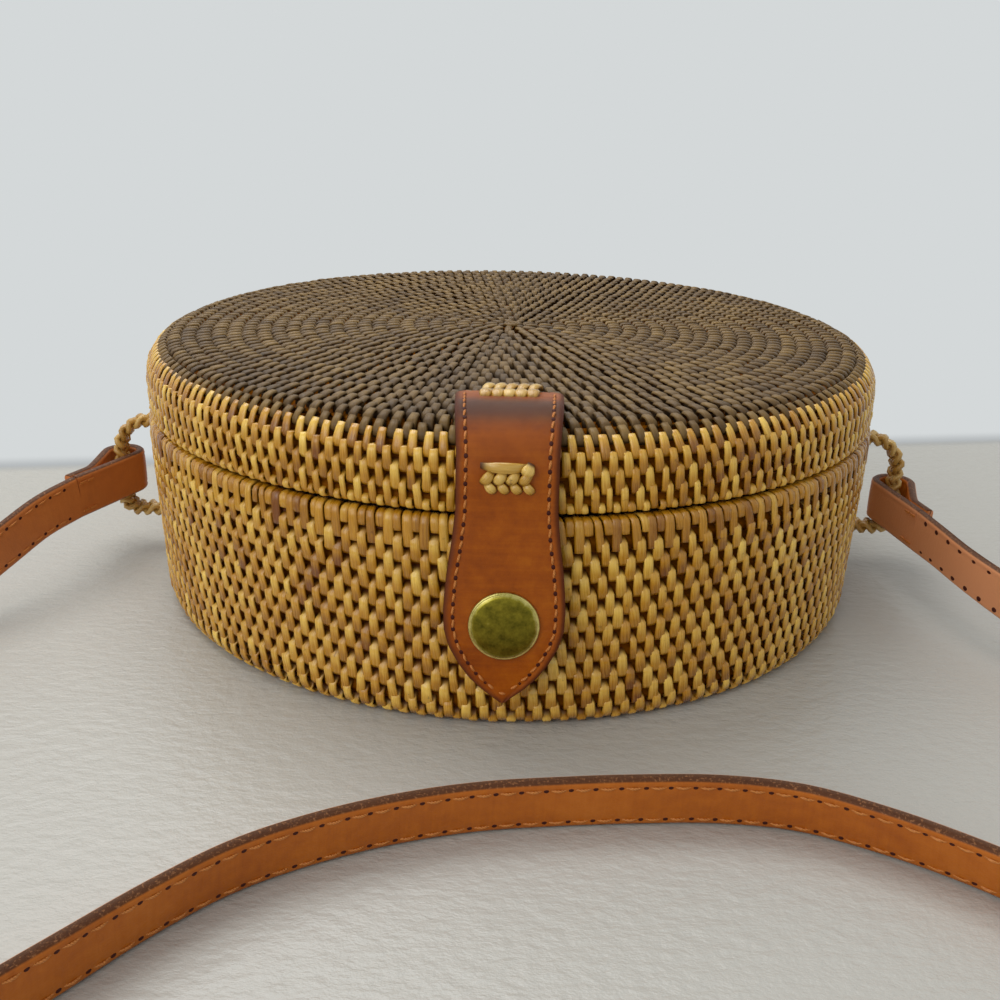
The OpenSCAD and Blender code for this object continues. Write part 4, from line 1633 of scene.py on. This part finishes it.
@dataclass
class LidWeave:
    """The woven lid: its top, the turn at its edge and its wall."""

    radius: float = 100.4 * MM
    cavity_r: float = 96.6 * MM
    top: float = 70.0 * MM
    bottom: float = 51.2 * MM
    ceiling: float = 65.8 * MM
    turn: float = 9.0 * MM
    hoop: float = 1.8 * MM
    wall_count: int = 188
    pitch: float = 3.95 * MM
    across: float = 3.3 * MM
    top_reach: float = 5.6 * MM
    reach: float = 7.2 * MM
    strand: float = 2.3 * MM
    golden: float = 66.0 * MM
    lowest: float = 55.1 * MM
    turned_in: float = 5.0 * MM
    bed_gap: float = 0.15 * MM
    tint_spread: float = 0.1

    def eye(self) -> bpy.types.Mesh:
        """The small coil that the weave starts from, in the middle of the top.

        Returns:
            The mesh.
        """
        path = []
        for turns in np.linspace(0.0, 2.3, 60):
            far = (0.5 + 0.8 * turns) * MM
            path.append(Vector((far * math.cos(turns * TURN), far * math.sin(turns * TURN), self.top)))
        return toned(strand_round(path, 0.9 * MM, 0.9 * MM, UP), 0.6)

    def outline(self) -> Outline:
        """From the middle of the top out, down the wall and round under the rim.

        Returns:
            The outline.
        """
        inner = self.cavity_r + 0.2 * MM
        return Outline(
            [
                (0.0, self.top),
                *arc((self.radius - self.turn, self.top - self.turn), self.turn, 90, 0),
                *arc((self.radius - self.hoop, self.bottom + self.hoop), self.hoop, 0, -90),
                *arc((inner + self.hoop, self.bottom + self.hoop), self.hoop, -90, -180),
                (inner, self.bottom + self.turned_in),
            ]
        )

    def build(self, finishes: Finishes) -> None:
        """Weave the lid.

        Args:
            finishes: The bag's materials.
        """
        outline = self.outline()
        rng = np.random.default_rng(30)
        last = outline.run_at(self.lowest, 0.85, 0.97)
        wall, top = [], []
        bottom = last
        phase = 0.0
        while bottom > 3.0 * MM:
            middle = max(bottom - 3 * MM, 0.5 * MM)
            radius = float(outline.at(np.array([middle]))[0][0])
            near_edge = radius > self.radius - 7 * MM
            count = self.wall_count if near_edge else max(5, round(TURN * radius / self.across))
            if float(outline.at(np.array([bottom]))[1][0]) < self.golden:
                wall.append(Row(bottom - self.reach, self.reach, count, phase, self.strand))
            else:
                start = max(bottom - self.top_reach, 0.2 * MM)
                tint = rng.normal(0.5, self.tint_spread)
                top.append(Row(start, bottom - start, count, phase, self.strand, tint=tint))
            phase = 0.5 - phase
            bottom -= self.pitch
        end = outline.length - 0.6 * MM
        rim = []
        for number, offset, width in ((1, 0.5, 2.15 * MM), (2, 0.0, 2.0 * MM)):
            start = last + number * self.pitch - self.reach
            rim.append(Row(start, end - start, self.wall_count, offset, width))
        back = self.cavity_r + self.bed_gap
        inner = [(back, self.bottom + self.turned_in), (back, self.ceiling), (0.0, self.ceiling)]
        bed = CoreBed(outline, inner, last - 1.5 * MM, self.pitch)
        fine = Weave(outline, top, 32, spans=6, cut=FINE_CUT, bulge=0.2 * MM)
        parts = [
            ("lid_wall_weave", Weave(outline, wall, 31).build(), finishes.wall, "lid_shell"),
            ("lid_top_weave", fine.build(), finishes.top, "lid_shell"),
            ("lid_top_eye", self.eye(), finishes.top, "lid_shell"),
            ("lid_rim_weave", Weave(outline, rim, 33, spans=14).build(), finishes.wall, "lid_rim_hoop"),
        ]
        for name, mesh, material, node in parts:
            piece(name, mesh, material, Slot.RATTAN, Body.LID, [node])
        piece("lid_cores", bed.build(), finishes.core, Slot.DARK_RATTAN, Body.LID, ["lid_shell"])


# Tab


@dataclass
class Tab:
    """The leather tab: two layers sewn together, laced to the lid and held by the snap."""

    leather: float = 1.6 * MM
    backing: float = 1.2 * MM
    top_y: float = -78.6 * MM
    top_z: float = 73.2 * MM
    pressed: float = 1.2 * MM
    skive: float = 5.0 * MM
    bend_y: float = -91.4 * MM
    bend_z: float = 61.0 * MM
    bend_r: float = 12.2 * MM
    flex_z: float = 54.0 * MM
    flap: float = 42.5 * MM
    tilt: float = math.radians(5.389)
    end_half: float = 11.7 * MM
    strip_half: float = 10.4 * MM
    flap_half: float = 12.75 * MM
    row_in: float = 2.0 * MM
    pitch: float = 2.9 * MM
    # Where the painted sheen across the bend lies, and how wide it is
    sheen_at: float = 15.0 * MM
    sheen_width: float = 7.0 * MM
    slope_step: float = 0.3 * MM
    seam_top: float = 4.5 * MM
    seam_step: float = 0.6 * MM
    seam_down: float = 0.16 * MM
    spans: int = 110
    # The layer's upper edge: how far in from its side, and how far down as a share of its thickness
    insets: tuple[float, ...] = (0.0, 0.35 * MM, 0.9 * MM, 1.5 * MM, 2.0 * MM, 2.6 * MM, 4.5 * MM)
    depths: tuple[float, ...] = (0.55, 0.12, 0.02, 0.04, 0.13, 0.04, 0.0)
    # The flap's outline: how far down it, and its half width as a share
    shares: tuple[tuple[float, float], ...] = (
        (0.0, 0.82), (0.07, 0.84), (0.18, 0.88), (0.3, 0.94), (0.42, 0.98), (0.52, 1.0), (0.62, 0.985),
        (0.71, 0.9), (0.8, 0.74), (0.88, 0.54), (0.94, 0.33), (0.98, 0.15), (1.0, 0.05),
    )

    def __post_init__(self) -> None:
        """Work out the outer face's line and the width along it."""
        front = self.bend_y - self.bend_r
        pressed = ((0.0, 1.0), (2.5 * MM, 0.7), (6.5 * MM, 0.15))
        line = [(self.top_y - down, self.top_z - share * self.pressed) for down, share in pressed]
        line += arc((self.bend_y, self.bend_z), self.bend_r, 90, 180)
        line.append((front, self.flex_z + 2 * MM))
        for share in np.linspace(0.04, 1.0, 40):
            down = self.flap * float(share)
            line.append((front - down * math.sin(self.tilt), self.flex_z - down * math.cos(self.tilt)))
        rows = np.array(line)
        run = run_along(rows)
        self.length = float(run[-1])
        self.flap_start = self.length - self.flap
        fine = np.linspace(0.0, self.length, 800)
        self.line_run = fine
        kernel = np.ones(15) / 15
        smooth = [np.interp(fine, run, rows[:, axis]) for axis in (0, 1)]
        padded = [np.pad(part, 7, mode="reflect", reflect_type="odd") for part in smooth]
        self.line_y, self.line_z = (np.convolve(part, kernel, mode="valid") for part in padded)
        rounded = ((0.0, 1.2 * MM), (0.5 * MM, 0.6 * MM), (1.4 * MM, 0.0), (15.0 * MM, 0.5 * MM))
        strip = [(down, self.end_half - less) for down, less in rounded]
        strip += [(27.0 * MM, self.strip_half), (40.0 * MM, self.strip_half)]
        flap = [(self.flap_start + share * self.flap, half * self.flap_half) for share, half in self.shares]
        places, halves = zip(*[(s, h) for s, h in strip if s < self.flap_start - 1 * MM], *flap)
        self.half_run, self.half_width = np.array(places), np.array(halves)

    def half(self, run: np.ndarray) -> np.ndarray:
        """Half the tab's width at these lengths."""
        return np.interp(run, self.half_run, self.half_width)

    def build(self, finishes: Finishes) -> None:
        """Build the tab's leather, backing and sewing, each one piece across the flex.

        Args:
            finishes: The bag's materials.
        """
        outer = self.layer(0.0, self.leather, 0.0)
        inner = self.layer(self.leather, self.backing, 0.15 * MM)
        parts = [
            ("tab_leather", outer, finishes.tab, Slot.LEATHER, ["tab_strip", "tab_flap"]),
            (
                "tab_backing_leather", inner, finishes.tab_back, Slot.LEATHER_BACK,
                ["tab_strip_backing", "tab_flap_backing"],
            ),
            (
                "tab_thread", self.sewing(True), finishes.thread, Slot.THREAD,
                ["tab_strip_stitching", "tab_flap_stitching"],
            ),
            ("tab_holes", self.sewing(False), finishes.hole, Slot.LEATHER, []),
        ]
        for name, mesh, material, slot, covers in parts:
            made = piece(name, mesh, material, slot, None, covers)
            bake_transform(made)

    def slope(self, run: float) -> tuple[float, float, float, float]:
        """Follow the outer face's line.

        Args:
            run: How far down the tab, along its face.

        Returns:
            The line's Y and Z there, and the Y and Z of its direction.
        """
        low, high = max(run - self.slope_step, 0.0), min(run + self.slope_step, self.length)
        (y, y_low, y_high), (z, z_low, z_high) = (
            np.interp([run, low, high], self.line_run, line).tolist() for line in (self.line_y, self.line_z)
        )
        size = math.hypot(y_high - y_low, z_high - z_low)
        return y, z, (y_high - y_low) / size, (z_high - z_low) / size

    def spot(self, across: float, run: float, up: float) -> Vector:
        """A point of the tab.

        Args:
            across: How far to the side.
            run: How far down the tab.
            up: How far above its outer face.

        Returns:
            The point.
        """
        y, z, ahead_y, ahead_z = self.slope(run)
        return Vector((across, y + ahead_z * up, z - ahead_y * up))

    def layer(self, down: float, thick: float, drawn_in: float) -> bpy.types.Mesh:
        """One layer of leather, with soft edges and a groove where it is sewn.

        Args:
            down: How far its face lies under the tab's outer face.
            thick: Its thickness.
            drawn_in: How much narrower it is on each side.

        Returns:
            The mesh, with its lay and rim kept for the leather finish.
        """
        runs = (1 - (1 - np.linspace(0, 1, self.spans + 1)) ** 1.15) * self.length
        halves = self.half(runs) - drawn_in
        upper = list(zip(self.insets, self.depths))
        count = len(upper)
        section = [(1, i) for i in range(count)] + [(0, 0)] + [(-1, i) for i in reversed(range(count))]
        sides = len(section) * 2

        def place(turn: float, ring: int) -> Vector:
            """A point of the layer's cut.

            Args:
                turn: How far round the ring, 0 to 1.
                ring: The ring's number.

            Returns:
                The point.
            """
            index = round(turn * sides) % sides
            under = index >= len(section)
            side, step = section[index if not under else sides - 1 - index]
            half = float(halves[ring])
            inset, sunk = upper[step] if side else (half, 0.0)
            across = side * max(half - min(inset, half * (0.12 * step + 0.02 * (step > 0))), 0.0)
            level = -down - thick * (1 - sunk if under else sunk)
            skived = 0.5 + 0.5 * min(float(runs[ring]) / self.skive, 1.0)
            return self.spot(across, float(runs[ring]), level * skived)

        mesh = to_mesh(tube(sides, self.spans, place))
        rows = points(mesh)
        number, _ = nearest(rows[:, 1:], np.stack([self.line_y, self.line_z], axis=1))
        run = self.line_run[number]
        # A painted sheen across the bend
        flesh_and_sheen_mask = np.exp(-(((run - self.sheen_at) / self.sheen_width) ** 2))
        give(mesh, "lay", np.stack([rows[:, 0], run, flesh_and_sheen_mask], axis=1))
        edge_run = np.linspace(0, self.length, 500)
        edge = np.stack([self.half(edge_run), edge_run], axis=1)
        _, rim = nearest(np.stack([np.abs(rows[:, 0]), run], axis=1), edge)
        give(mesh, "rim", rim)
        return mesh

    def seam(self) -> np.ndarray:
        """The sewn line in the flat, from the top right, round the point and up to the top left.

        Returns:
            Its points as (across, along).
        """
        run = np.linspace(self.seam_top, self.length, 700)
        edge = np.stack([self.half(run), run], axis=1)
        ahead = np.gradient(edge, axis=0)
        ahead /= np.linalg.norm(ahead, axis=1)[:, None]
        inward = edge + np.stack([-ahead[:, 1], ahead[:, 0]], axis=1) * self.row_in
        right = inward[inward[:, 0] > 0.2 * MM]
        left = right[::-1] * np.array([-1.0, 1.0])
        return np.concatenate([right, left])

    def sewing(self, thread: bool) -> bpy.types.Mesh:
        """Sew round the tab.

        Args:
            thread: Whether the stitches are made, or the needle holes between them.

        Returns:
            The mesh.
        """
        rng = np.random.default_rng(5)
        seam = self.seam()
        run = run_along(seam)
        count = int(run[-1] / self.pitch)
        pitch = run[-1] / count
        frames = []
        for index in range(count + (0 if thread else 1)):
            at = (index + (0.5 if thread else 0.0)) * pitch
            low, high = max(at - self.seam_step, 0.0), min(at + self.seam_step, run[-1])
            (x, x_low, x_high), (s, s_low, s_high) = (
                np.interp([at, low, high], run, seam[:, axis]).tolist() for axis in (0, 1)
            )
            size = math.hypot(x_high - x_low, s_high - s_low)
            dx, ds = (x_high - x_low) / size, (s_high - s_low) / size
            skew = rng.normal(0.16, 0.05) if thread else 0.0
            dx, ds = dx * math.cos(skew) - ds * math.sin(skew), dx * math.sin(skew) + ds * math.cos(skew)
            spot = self.spot(x, s, -self.seam_down)
            _, _, ahead_y, ahead_z = self.slope(s)
            ahead = Vector((dx, ds * ahead_y, ds * ahead_z))
            out = Vector((0.0, ahead_z, -ahead_y))
            frames.append((ahead, out.cross(ahead), out, spot))
        return scattered(Seam(self.pitch).stitch() if thread else Seam(self.pitch).hole(), frames)


# Snap, lacings, loops, hinges


@dataclass
class Snap:
    """The snap's cap: a shallow dome with a rolled rim, on the flap's own slope."""

    radius: float = 7.5 * MM
    edge: float = 0.8 * MM
    dome: float = 0.8 * MM
    under: float = 0.02 * MM
    steps: int = 72
    # Shares of the radius with shares of the dome's height, and then of the edge's
    dome_cut: tuple[tuple[float, float], ...] = (
        (0.25, 0.985), (0.5, 0.92), (0.7, 0.8), (0.84, 0.6), (0.91, 0.38),
    )
    rim_cut: tuple[tuple[float, float], ...] = ((0.925, 0.92), (0.955, 1.06), (0.98, 1.0), (1.0, 0.5))
    # Where the painted highlight round the rim lies, as a share of the radius, and how wide it is
    rim_highlight_at: float = 0.96
    rim_highlight_width: float = 0.13
    centre: Vector = field(default_factory=lambda: Vector((0.0, -0.10593, 0.02931)))
    tilt: float = math.radians(5.389)

    def build(self, finishes: Finishes) -> None:
        """Turn the cap and set it on the flap.

        Args:
            finishes: The bag's materials.
        """
        shape = [(0.0, self.edge + self.dome)]
        shape += [(at * self.radius, self.edge + self.dome * (part - 0.1)) for at, part in self.dome_cut]
        shape += [(at * self.radius, self.edge * part) for at, part in self.rim_cut]
        shape += [(at * self.radius, self.under) for at in (0.985, 0.0)]
        bm = turned(shape, self.steps)
        out = Vector((0.0, -math.cos(self.tilt), math.sin(self.tilt)))
        turn = UP.rotation_difference(out).to_matrix().to_4x4()
        shares = [vert.co.to_2d().length / self.radius for vert in bm.verts]
        # A painted highlight round the rolled rim
        rim_highlight = [max(0.0, 1 - abs(share - self.rim_highlight_at) / self.rim_highlight_width) for share in shares]
        bmesh.ops.transform(bm, matrix=Matrix.Translation(self.centre) @ turn, verts=bm.verts)
        mesh = to_mesh(bm)
        give(mesh, "rim_highlight", np.array(rim_highlight))
        piece("snap_cap_dome", mesh, finishes.brass, Slot.BRASS, Body.TAB, ["snap_cap"])


@dataclass
class LaceStrand:
    """One short strand of a lacing: its place, the ways that it runs and faces, and its size."""

    spot: tuple[float, float, float]
    along: tuple[float, float, float]
    out: tuple[float, float, float]
    width: float
    length: float
    height: float


@dataclass
class Lacing:
    """Rows of short rattan strands that lace the tab to the lid."""

    name: str
    node: str
    sides: int = 8
    spans: int = 8
    half_width: float = 0.52
    half_height: float = 0.42

    def bulge(self) -> bmesh.types.BMesh:
        """One strand, along Y on the plane, humped over what it holds.

        Returns:
            The strand.
        """

        def place(turn: float, ring: int) -> Vector:
            """A point of the strand.

            Args:
                turn: How far round the ring, 0 to 1.
                ring: The ring's number.

            Returns:
                The point.
            """
            part = ring / self.spans
            angle = turn * TURN
            fat = math.sin(math.pi * min(max(part, 0.06), 0.94)) ** 0.4
            lift = math.sin(math.pi * part) ** 0.7
            wide = math.cos(angle) * self.half_width * fat
            return Vector((wide, part - 0.5, lift + math.sin(angle) * self.half_height * fat))

        return tube(self.sides, self.spans, place)

    def build(self, finishes: Finishes, strands: Sequence[LaceStrand]) -> None:
        """Lay the strands.

        Args:
            finishes: The bag's materials.
            strands: What to lay.
        """
        frames = []
        for strand in strands:
            ahead, out = Vector(strand.along).normalized(), Vector(strand.out)
            rise = (out - ahead * out.dot(ahead)).normalized()
            sideways = ahead.cross(rise) * strand.width
            frames.append((sideways, ahead * strand.length, rise * strand.height, strand.spot))
        unit = self.bulge()
        size = len(unit.verts)
        mesh = scattered(unit, frames)
        face_out(mesh)
        rng = np.random.default_rng(8)
        tint = np.repeat(rng.uniform(0.35, 0.9, len(frames)), size)
        rows = points(mesh)
        spots, longs, sides, aheads = (
            np.repeat(np.array(part), size, axis=0)
            for part in (
                [list(frame[3]) for frame in frames],
                [frame[1].length for frame in frames],
                [list(frame[0].normalized()) for frame in frames],
                [list(frame[1].normalized()) for frame in frames],
            )
        )
        # Painted shade towards both ends of each strand, where it dives under, kept as its dip
        ends = np.abs(((rows - spots) * aheads).sum(axis=1)) / longs * 2
        give(mesh, "tint", tint)
        give(mesh, "dip", np.clip(ends, 0, 1) ** 3)
        across, along = (rows * sides).sum(axis=1), (rows * aheads).sum(axis=1)
        give(mesh, "fibre", np.stack([across, along, tint * 40], axis=1))
        piece(self.name, mesh, finishes.lacing, Slot.RATTAN, Body.LID, [self.node])


@dataclass
class TabLacings:
    """The lacing over the tab's top end, and the plait on the front of the lid."""

    top_z: float = 71.9 * MM
    top_step: float = 2.5 * MM
    front_y: float = -103.3 * MM
    front_step: float = 2.55 * MM

    def build(self, finishes: Finishes) -> None:
        """Lay both."""
        Lacing("tab_top_lacing", "tab_lacing_top").build(finishes, self.top())
        Lacing("tab_front_lacing", "tab_lacing_front").build(finishes, self.front())

    def top(self) -> list[LaceStrand]:
        """Two rows of five strands, the nearer ones straight and the others slanting.

        Returns:
            The strands.
        """
        strands = []
        for index in range(5):
            x = (index - 2) * self.top_step
            near = (x, -84.4 * MM, self.top_z + 0.3 * MM)
            far = (x + 0.6 * MM, -78.4 * MM, self.top_z)
            strands.append(LaceStrand(near, (0.1, 1.0, -0.05), (0, 0, 1), 2.9 * MM, 5.6 * MM, 1.4 * MM))
            strands.append(LaceStrand(far, (0.42, 1.0, -0.1), (0, 0, 1), 2.3 * MM, 6.6 * MM, 1.3 * MM))
        return strands

    def front(self) -> list[LaceStrand]:
        """One long strand with its end, over two rows of four that slant against each other.

        Returns:
            The strands.
        """
        y, out = self.front_y, (0, -1, 0)
        long, end = (-0.6 * MM, y, 63.5 * MM), (4.0 * MM, y - 0.3 * MM, 62.9 * MM)
        strands = [
            LaceStrand(long, (1.0, 0.06, -0.03), out, 2.4 * MM, 9.8 * MM, 1.5 * MM),
            LaceStrand(end, (0.5, 0.0, 1.0), out, 2.6 * MM, 3.0 * MM, 1.3 * MM),
        ]
        for index in range(4):
            x = (index - 1.6) * self.front_step
            upper, lower = (x, y, 61.2 * MM), (x + 0.7 * MM, y, 59.0 * MM)
            strands.append(LaceStrand(upper, (0.8, 0.0, 1.0), out, 2.1 * MM, 4.0 * MM, 1.4 * MM))
            strands.append(LaceStrand(lower, (-0.9, 0.0, 1.0), out, 1.9 * MM, 3.3 * MM, 1.1 * MM))
        return strands


@dataclass
class StrapLoop:
    """A loop braided of three double strands, which stands out from the base's wall as a D."""

    name: str
    side: float
    bar_x: float = 115.75 * MM
    root_x: float = 98.9 * MM
    top_z: float = 38.75 * MM
    bottom_z: float = 10.75 * MM
    top_round: float = 9.0 * MM
    bottom_round: float = 4.0 * MM
    swing: float = 2.0 * MM
    dive: float = 1.1 * MM
    strand: float = 1.5 * MM
    lay: float = 9.6 * MM
    stub: float = 4.0 * MM
    step: float = 0.7 * MM
    strands: int = 6
    pair: float = 0.86
    flatness: float = 1.1

    def build(self, finishes: Finishes) -> None:
        """Braid the loop.

        Args:
            finishes: The bag's materials.
        """
        high, low = self.top_z - self.top_round, self.bottom_z + self.bottom_round
        plan = [
            (self.root_x, self.top_z),
            (self.root_x + self.stub, self.top_z),
            *arc((self.bar_x - self.top_round, high), self.top_round, 90, 0),
            *arc((self.bar_x - self.bottom_round, low), self.bottom_round, 0, -90),
            (self.root_x + self.stub, self.bottom_z),
            (self.root_x, self.bottom_z),
        ]
        middle = smooth_path([Vector((x * self.side, 0, z)) for x, z in plan], self.step)
        frames = frames_along(middle, UP)
        meshes = []
        for number in range(self.strands):
            path = []
            shift = (number % 2 - 0.5) * self.strand * self.pair
            for index, (spot, side, rise) in enumerate(frames):
                angle = TURN * (index * self.step / self.lay + number // 2 / 3)
                swing = self.swing * math.sin(angle) + shift
                path.append(spot + side * swing + rise * (self.dive * math.sin(2 * angle)))
            strand = strand_round(path, self.strand, self.strand * self.flatness, UP)
            meshes.append(toned(strand, 0.35 + 0.08 * number))
        piece(
            f"{self.name}_braided_loop", joined(meshes), finishes.braid, Slot.RATTAN, Body.BASE,
            [f"{self.name}_strap_loop"],
        )


@dataclass
class Hinge:
    """One rattan hinge: strands wound round a cane pin, from the base and from the lid."""

    name: str
    x: float
    y: float = 104.05 * MM
    z: float = 51.05 * MM
    pin: float = 1.5 * MM
    strand: float = 1.62 * MM
    step: float = 5.4 * MM
    shell_r: float = 100.6 * MM
    rooted: float = 1.7 * MM
    clearance: float = 0.05 * MM
    spread: float = 0.03 * MM
    path_step: float = 0.8 * MM
    # Out from the wall and away from the pin's height, where a strand starts, leans out and ends
    start: tuple[float, float] = (0.0, 6.4 * MM)
    lean: tuple[float, float] = (2.2 * MM, 4.4 * MM)
    end: tuple[float, float] = (0.2 * MM, 2.6 * MM)
    wrap: tuple[float, float] = (50.0, -215.0)

    def wound(self, x: float, up: float) -> list[bpy.types.Mesh]:
        """Three strands side by side, out of the wall, round the pin and back into the wall.

        Args:
            x: The place of the middle strand along the pin.
            up: 1 where they leave the wall above the pin, -1 where they leave it below.

        Returns:
            One mesh for each strand.
        """
        radius = self.pin + self.strand / 2 + self.clearance
        meshes = []
        for number in (-1, 0, 1):
            at = x + number * (self.strand + self.spread)
            wall = math.sqrt(self.shell_r**2 - at**2) - self.rooted
            plan = [(wall + out, self.z + up * away) for out, away in (self.start, self.lean)]
            for angle in np.linspace(self.wrap[0] * up, self.wrap[1] * up, 14):
                turn = math.radians(float(angle))
                plan.append((self.y + radius * math.cos(turn), self.z + radius * math.sin(turn)))
            plan.append((wall + self.end[0], self.z + up * self.end[1]))
            path = smooth_path([Vector((at, y, z)) for y, z in plan], self.path_step)
            strand = strand_round(path, self.strand, self.strand, Vector((1, 0, 0)))
            meshes.append(toned(strand, 0.5 + 0.15 * number))
        return meshes

    def build(self, finishes: Finishes) -> None:
        """Wind the loops of the base and of the lid; the pin keeps its own shape.

        Args:
            finishes: The bag's materials.
        """
        base = [*self.wound(self.x - self.step, -1.0), *self.wound(self.x + self.step, -1.0)]
        windings = [(base, Body.BASE, "loops"), (self.wound(self.x, 1.0), Body.LID, "loop")]
        for meshes, body, loops in windings:
            name = f"{self.name}_hinge_{body.value}"
            piece(f"{name}_winding", joined(meshes), finishes.braid, Slot.RATTAN, body, [f"{name}_{loops}"])


# Collar and linings


@dataclass
class Collar:
    """The smoked rattan collar inside the base's rim: slanting strands round a band."""

    outer: float = 95.0 * MM
    thick: float = 2.4 * MM
    low: float = 42.9 * MM
    high: float = 56.9 * MM
    rounding: float = 1.1 * MM
    count: int = 150

    def build(self, finishes: Finishes) -> None:
        """Turn the band and wrap it.

        Args:
            finishes: The bag's materials.
        """
        inner = self.outer - self.thick
        outline = Outline(
            [
                (inner, self.low + 1 * MM),
                *arc((inner + self.rounding, self.high - self.rounding), self.rounding, 180, 90),
                *arc((self.outer - self.rounding, self.high - self.rounding), self.rounding, 90, 0),
                (self.outer, self.low),
            ]
        )
        rows = [Row(0.2 * MM, outline.length - 0.4 * MM, self.count, 0.0, 4.3 * MM, -0.05 * MM)]
        weave = Weave(
            outline, rows, 41, sink=0.7 * MM, tape=0.8 * MM, lean=0.55, side_lean=0.0, spans=12, bulge=0.0
        )
        shell = [(inner + 0.6 * MM, self.low), (self.outer - 0.6 * MM, self.low)]
        shell += [(self.outer - 0.7 * MM, self.high - 0.8 * MM), (inner + 0.7 * MM, self.high - 0.8 * MM)]
        # The band lies under the wrap, and its dip paints it darker as shade
        mesh = toned(to_mesh(turned(shell, 96, closed=True)), 0.4, 0.4)
        give(mesh, "fibre", points(mesh))
        for name, part in (("base_collar_wrap", weave.build()), ("base_collar_band", mesh)):
            piece(name, part, finishes.collar, Slot.DARK_RATTAN, Body.BASE, ["base_collar"])


@dataclass
class Lining:
    """The cotton lining: a disc and a band in the base, and the same in the lid."""

    thick: float = 0.8 * MM
    disc_r: float = 95.9 * MM
    disc_steps: int = 96
    middle_r: float = 95.6 * MM
    band_steps: int = 128
    base_band: tuple[float, float] = (5.1 * MM, 46.4 * MM)
    lid_band: tuple[float, float] = (53.8 * MM, 64.9 * MM)

    def disc(self, radius: float, level: float, hang: float) -> bpy.types.Mesh:
        """A round sheet with faint soft waves.

        Args:
            radius: Its radius.
            level: The height of its middle.
            hang: How high its waves are, below 0 where they hang down.

        Returns:
            The mesh, with its lay kept for the cloth finish.
        """
        shares = np.linspace(0.0, 1.0, 26)
        upper = [(radius * float(s), level + self.thick * 0.5) for s in shares]
        lower = [(radius * float(s), level - self.thick * 0.5) for s in reversed(shares)]
        mesh = to_mesh(turned([*upper, *lower], self.disc_steps))
        rows = points(mesh)
        angle = np.arctan2(rows[:, 1], rows[:, 0])
        far = np.hypot(rows[:, 0], rows[:, 1]) / radius
        wave = 0.12 * np.sin(angle * 5 + far * 7) + 0.1 * np.sin(angle * 9 - far * 11 + 1.0)
        rows[:, 2] += hang * wave * np.clip(far * 3, 0, 1) * np.clip((1 - far) * 6, 0, 1) * MM
        set_points(mesh, rows)
        give(mesh, "lay", rows)
        return mesh

    def band(self, radius: float, low: float, high: float) -> bpy.types.Mesh:
        """A sheet round a wall.

        Args:
            radius: The radius of its outer face.
            low: Its lower edge.
            high: Its upper edge.

        Returns:
            The mesh, with its lay kept for the cloth finish.
        """
        inner = radius - self.thick
        levels = np.linspace(low, high, 12)
        outline = [(radius, float(z)) for z in levels] + [(inner, float(z)) for z in reversed(levels)]
        mesh = to_mesh(turned(outline, self.band_steps, closed=True))
        rows = points(mesh)
        angle = np.arctan2(rows[:, 1], rows[:, 0])
        give(mesh, "lay", np.stack([angle * radius, rows[:, 2], np.zeros(len(rows))], axis=1))
        return mesh

    def build(self, finishes: Finishes) -> None:
        """Lay and hang the four sheets.

        Args:
            finishes: The bag's materials.
        """
        floor, top = self.disc(self.disc_r, 4.6 * MM, 1.0), self.disc(self.disc_r, 65.4 * MM, -1.0)
        base_wall = self.band(96.0 * MM, *self.base_band)
        lid_wall = self.band(96.4 * MM, *self.lid_band)
        sheets = [
            ("base_floor_cloth", floor, Body.BASE, "base_floor_lining", None),
            ("base_wall_cloth", base_wall, Body.BASE, "base_wall_lining", self.base_band),
            ("lid_top_cloth", top, Body.LID, "lid_top_lining", None),
            ("lid_wall_cloth", lid_wall, Body.LID, "lid_wall_lining", self.lid_band),
        ]
        for name, mesh, body, node, levels in sheets:
            low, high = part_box(node)
            LOG.info("%s stands for %s, z %.4f to %.4f", name, node, low.z, high.z)
            made = piece(name, mesh, finishes.cloth, Slot.LINING, body, [node])
            if levels is None:
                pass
            else:
                height = levels[1] - levels[0]


def dress_nodes(finishes: Finishes) -> None:
    """Give the CAD nodes whose shape stays their finish.

    Args:
        finishes: The bag's materials.
    """
    kept = {
        "snap_stud": finishes.brass,
        "snap_post": finishes.brass,
        "snap_socket": finishes.brass,
        "stud_washer": finishes.tab_back,
        "left_hinge_pin": finishes.collar,
        "right_hinge_pin": finishes.collar,
        "strap_end_stitching": finishes.thread,
    }
    for name, material in kept.items():
        node = frame["nodes"][name]
        for slot in node.material_slots:
            slot.material = material


def main() -> None:
    """Build the studio and the bag, the strap first."""
    logging.basicConfig(level=logging.INFO, format="%(message)s")
    bpy.context.scene.view_settings.view_transform = "Standard"
    Studio().build()
    finishes = Finishes.make()
    Strap().build(finishes)
    BaseWeave().build(finishes)
    LidWeave().build(finishes)
    Tab().build(finishes)
    Snap().build(finishes)
    TabLacings().build(finishes)
    StrapLoop("left", -1.0).build(finishes)
    StrapLoop("right", 1.0).build(finishes)
    Hinge("left", -25.0 * MM).build(finishes)
    Hinge("right", 25.0 * MM).build(finishes)
    Collar().build(finishes)
    Lining().build(finishes)
    dress_nodes(finishes)


if __name__ == "__main__":
    main()
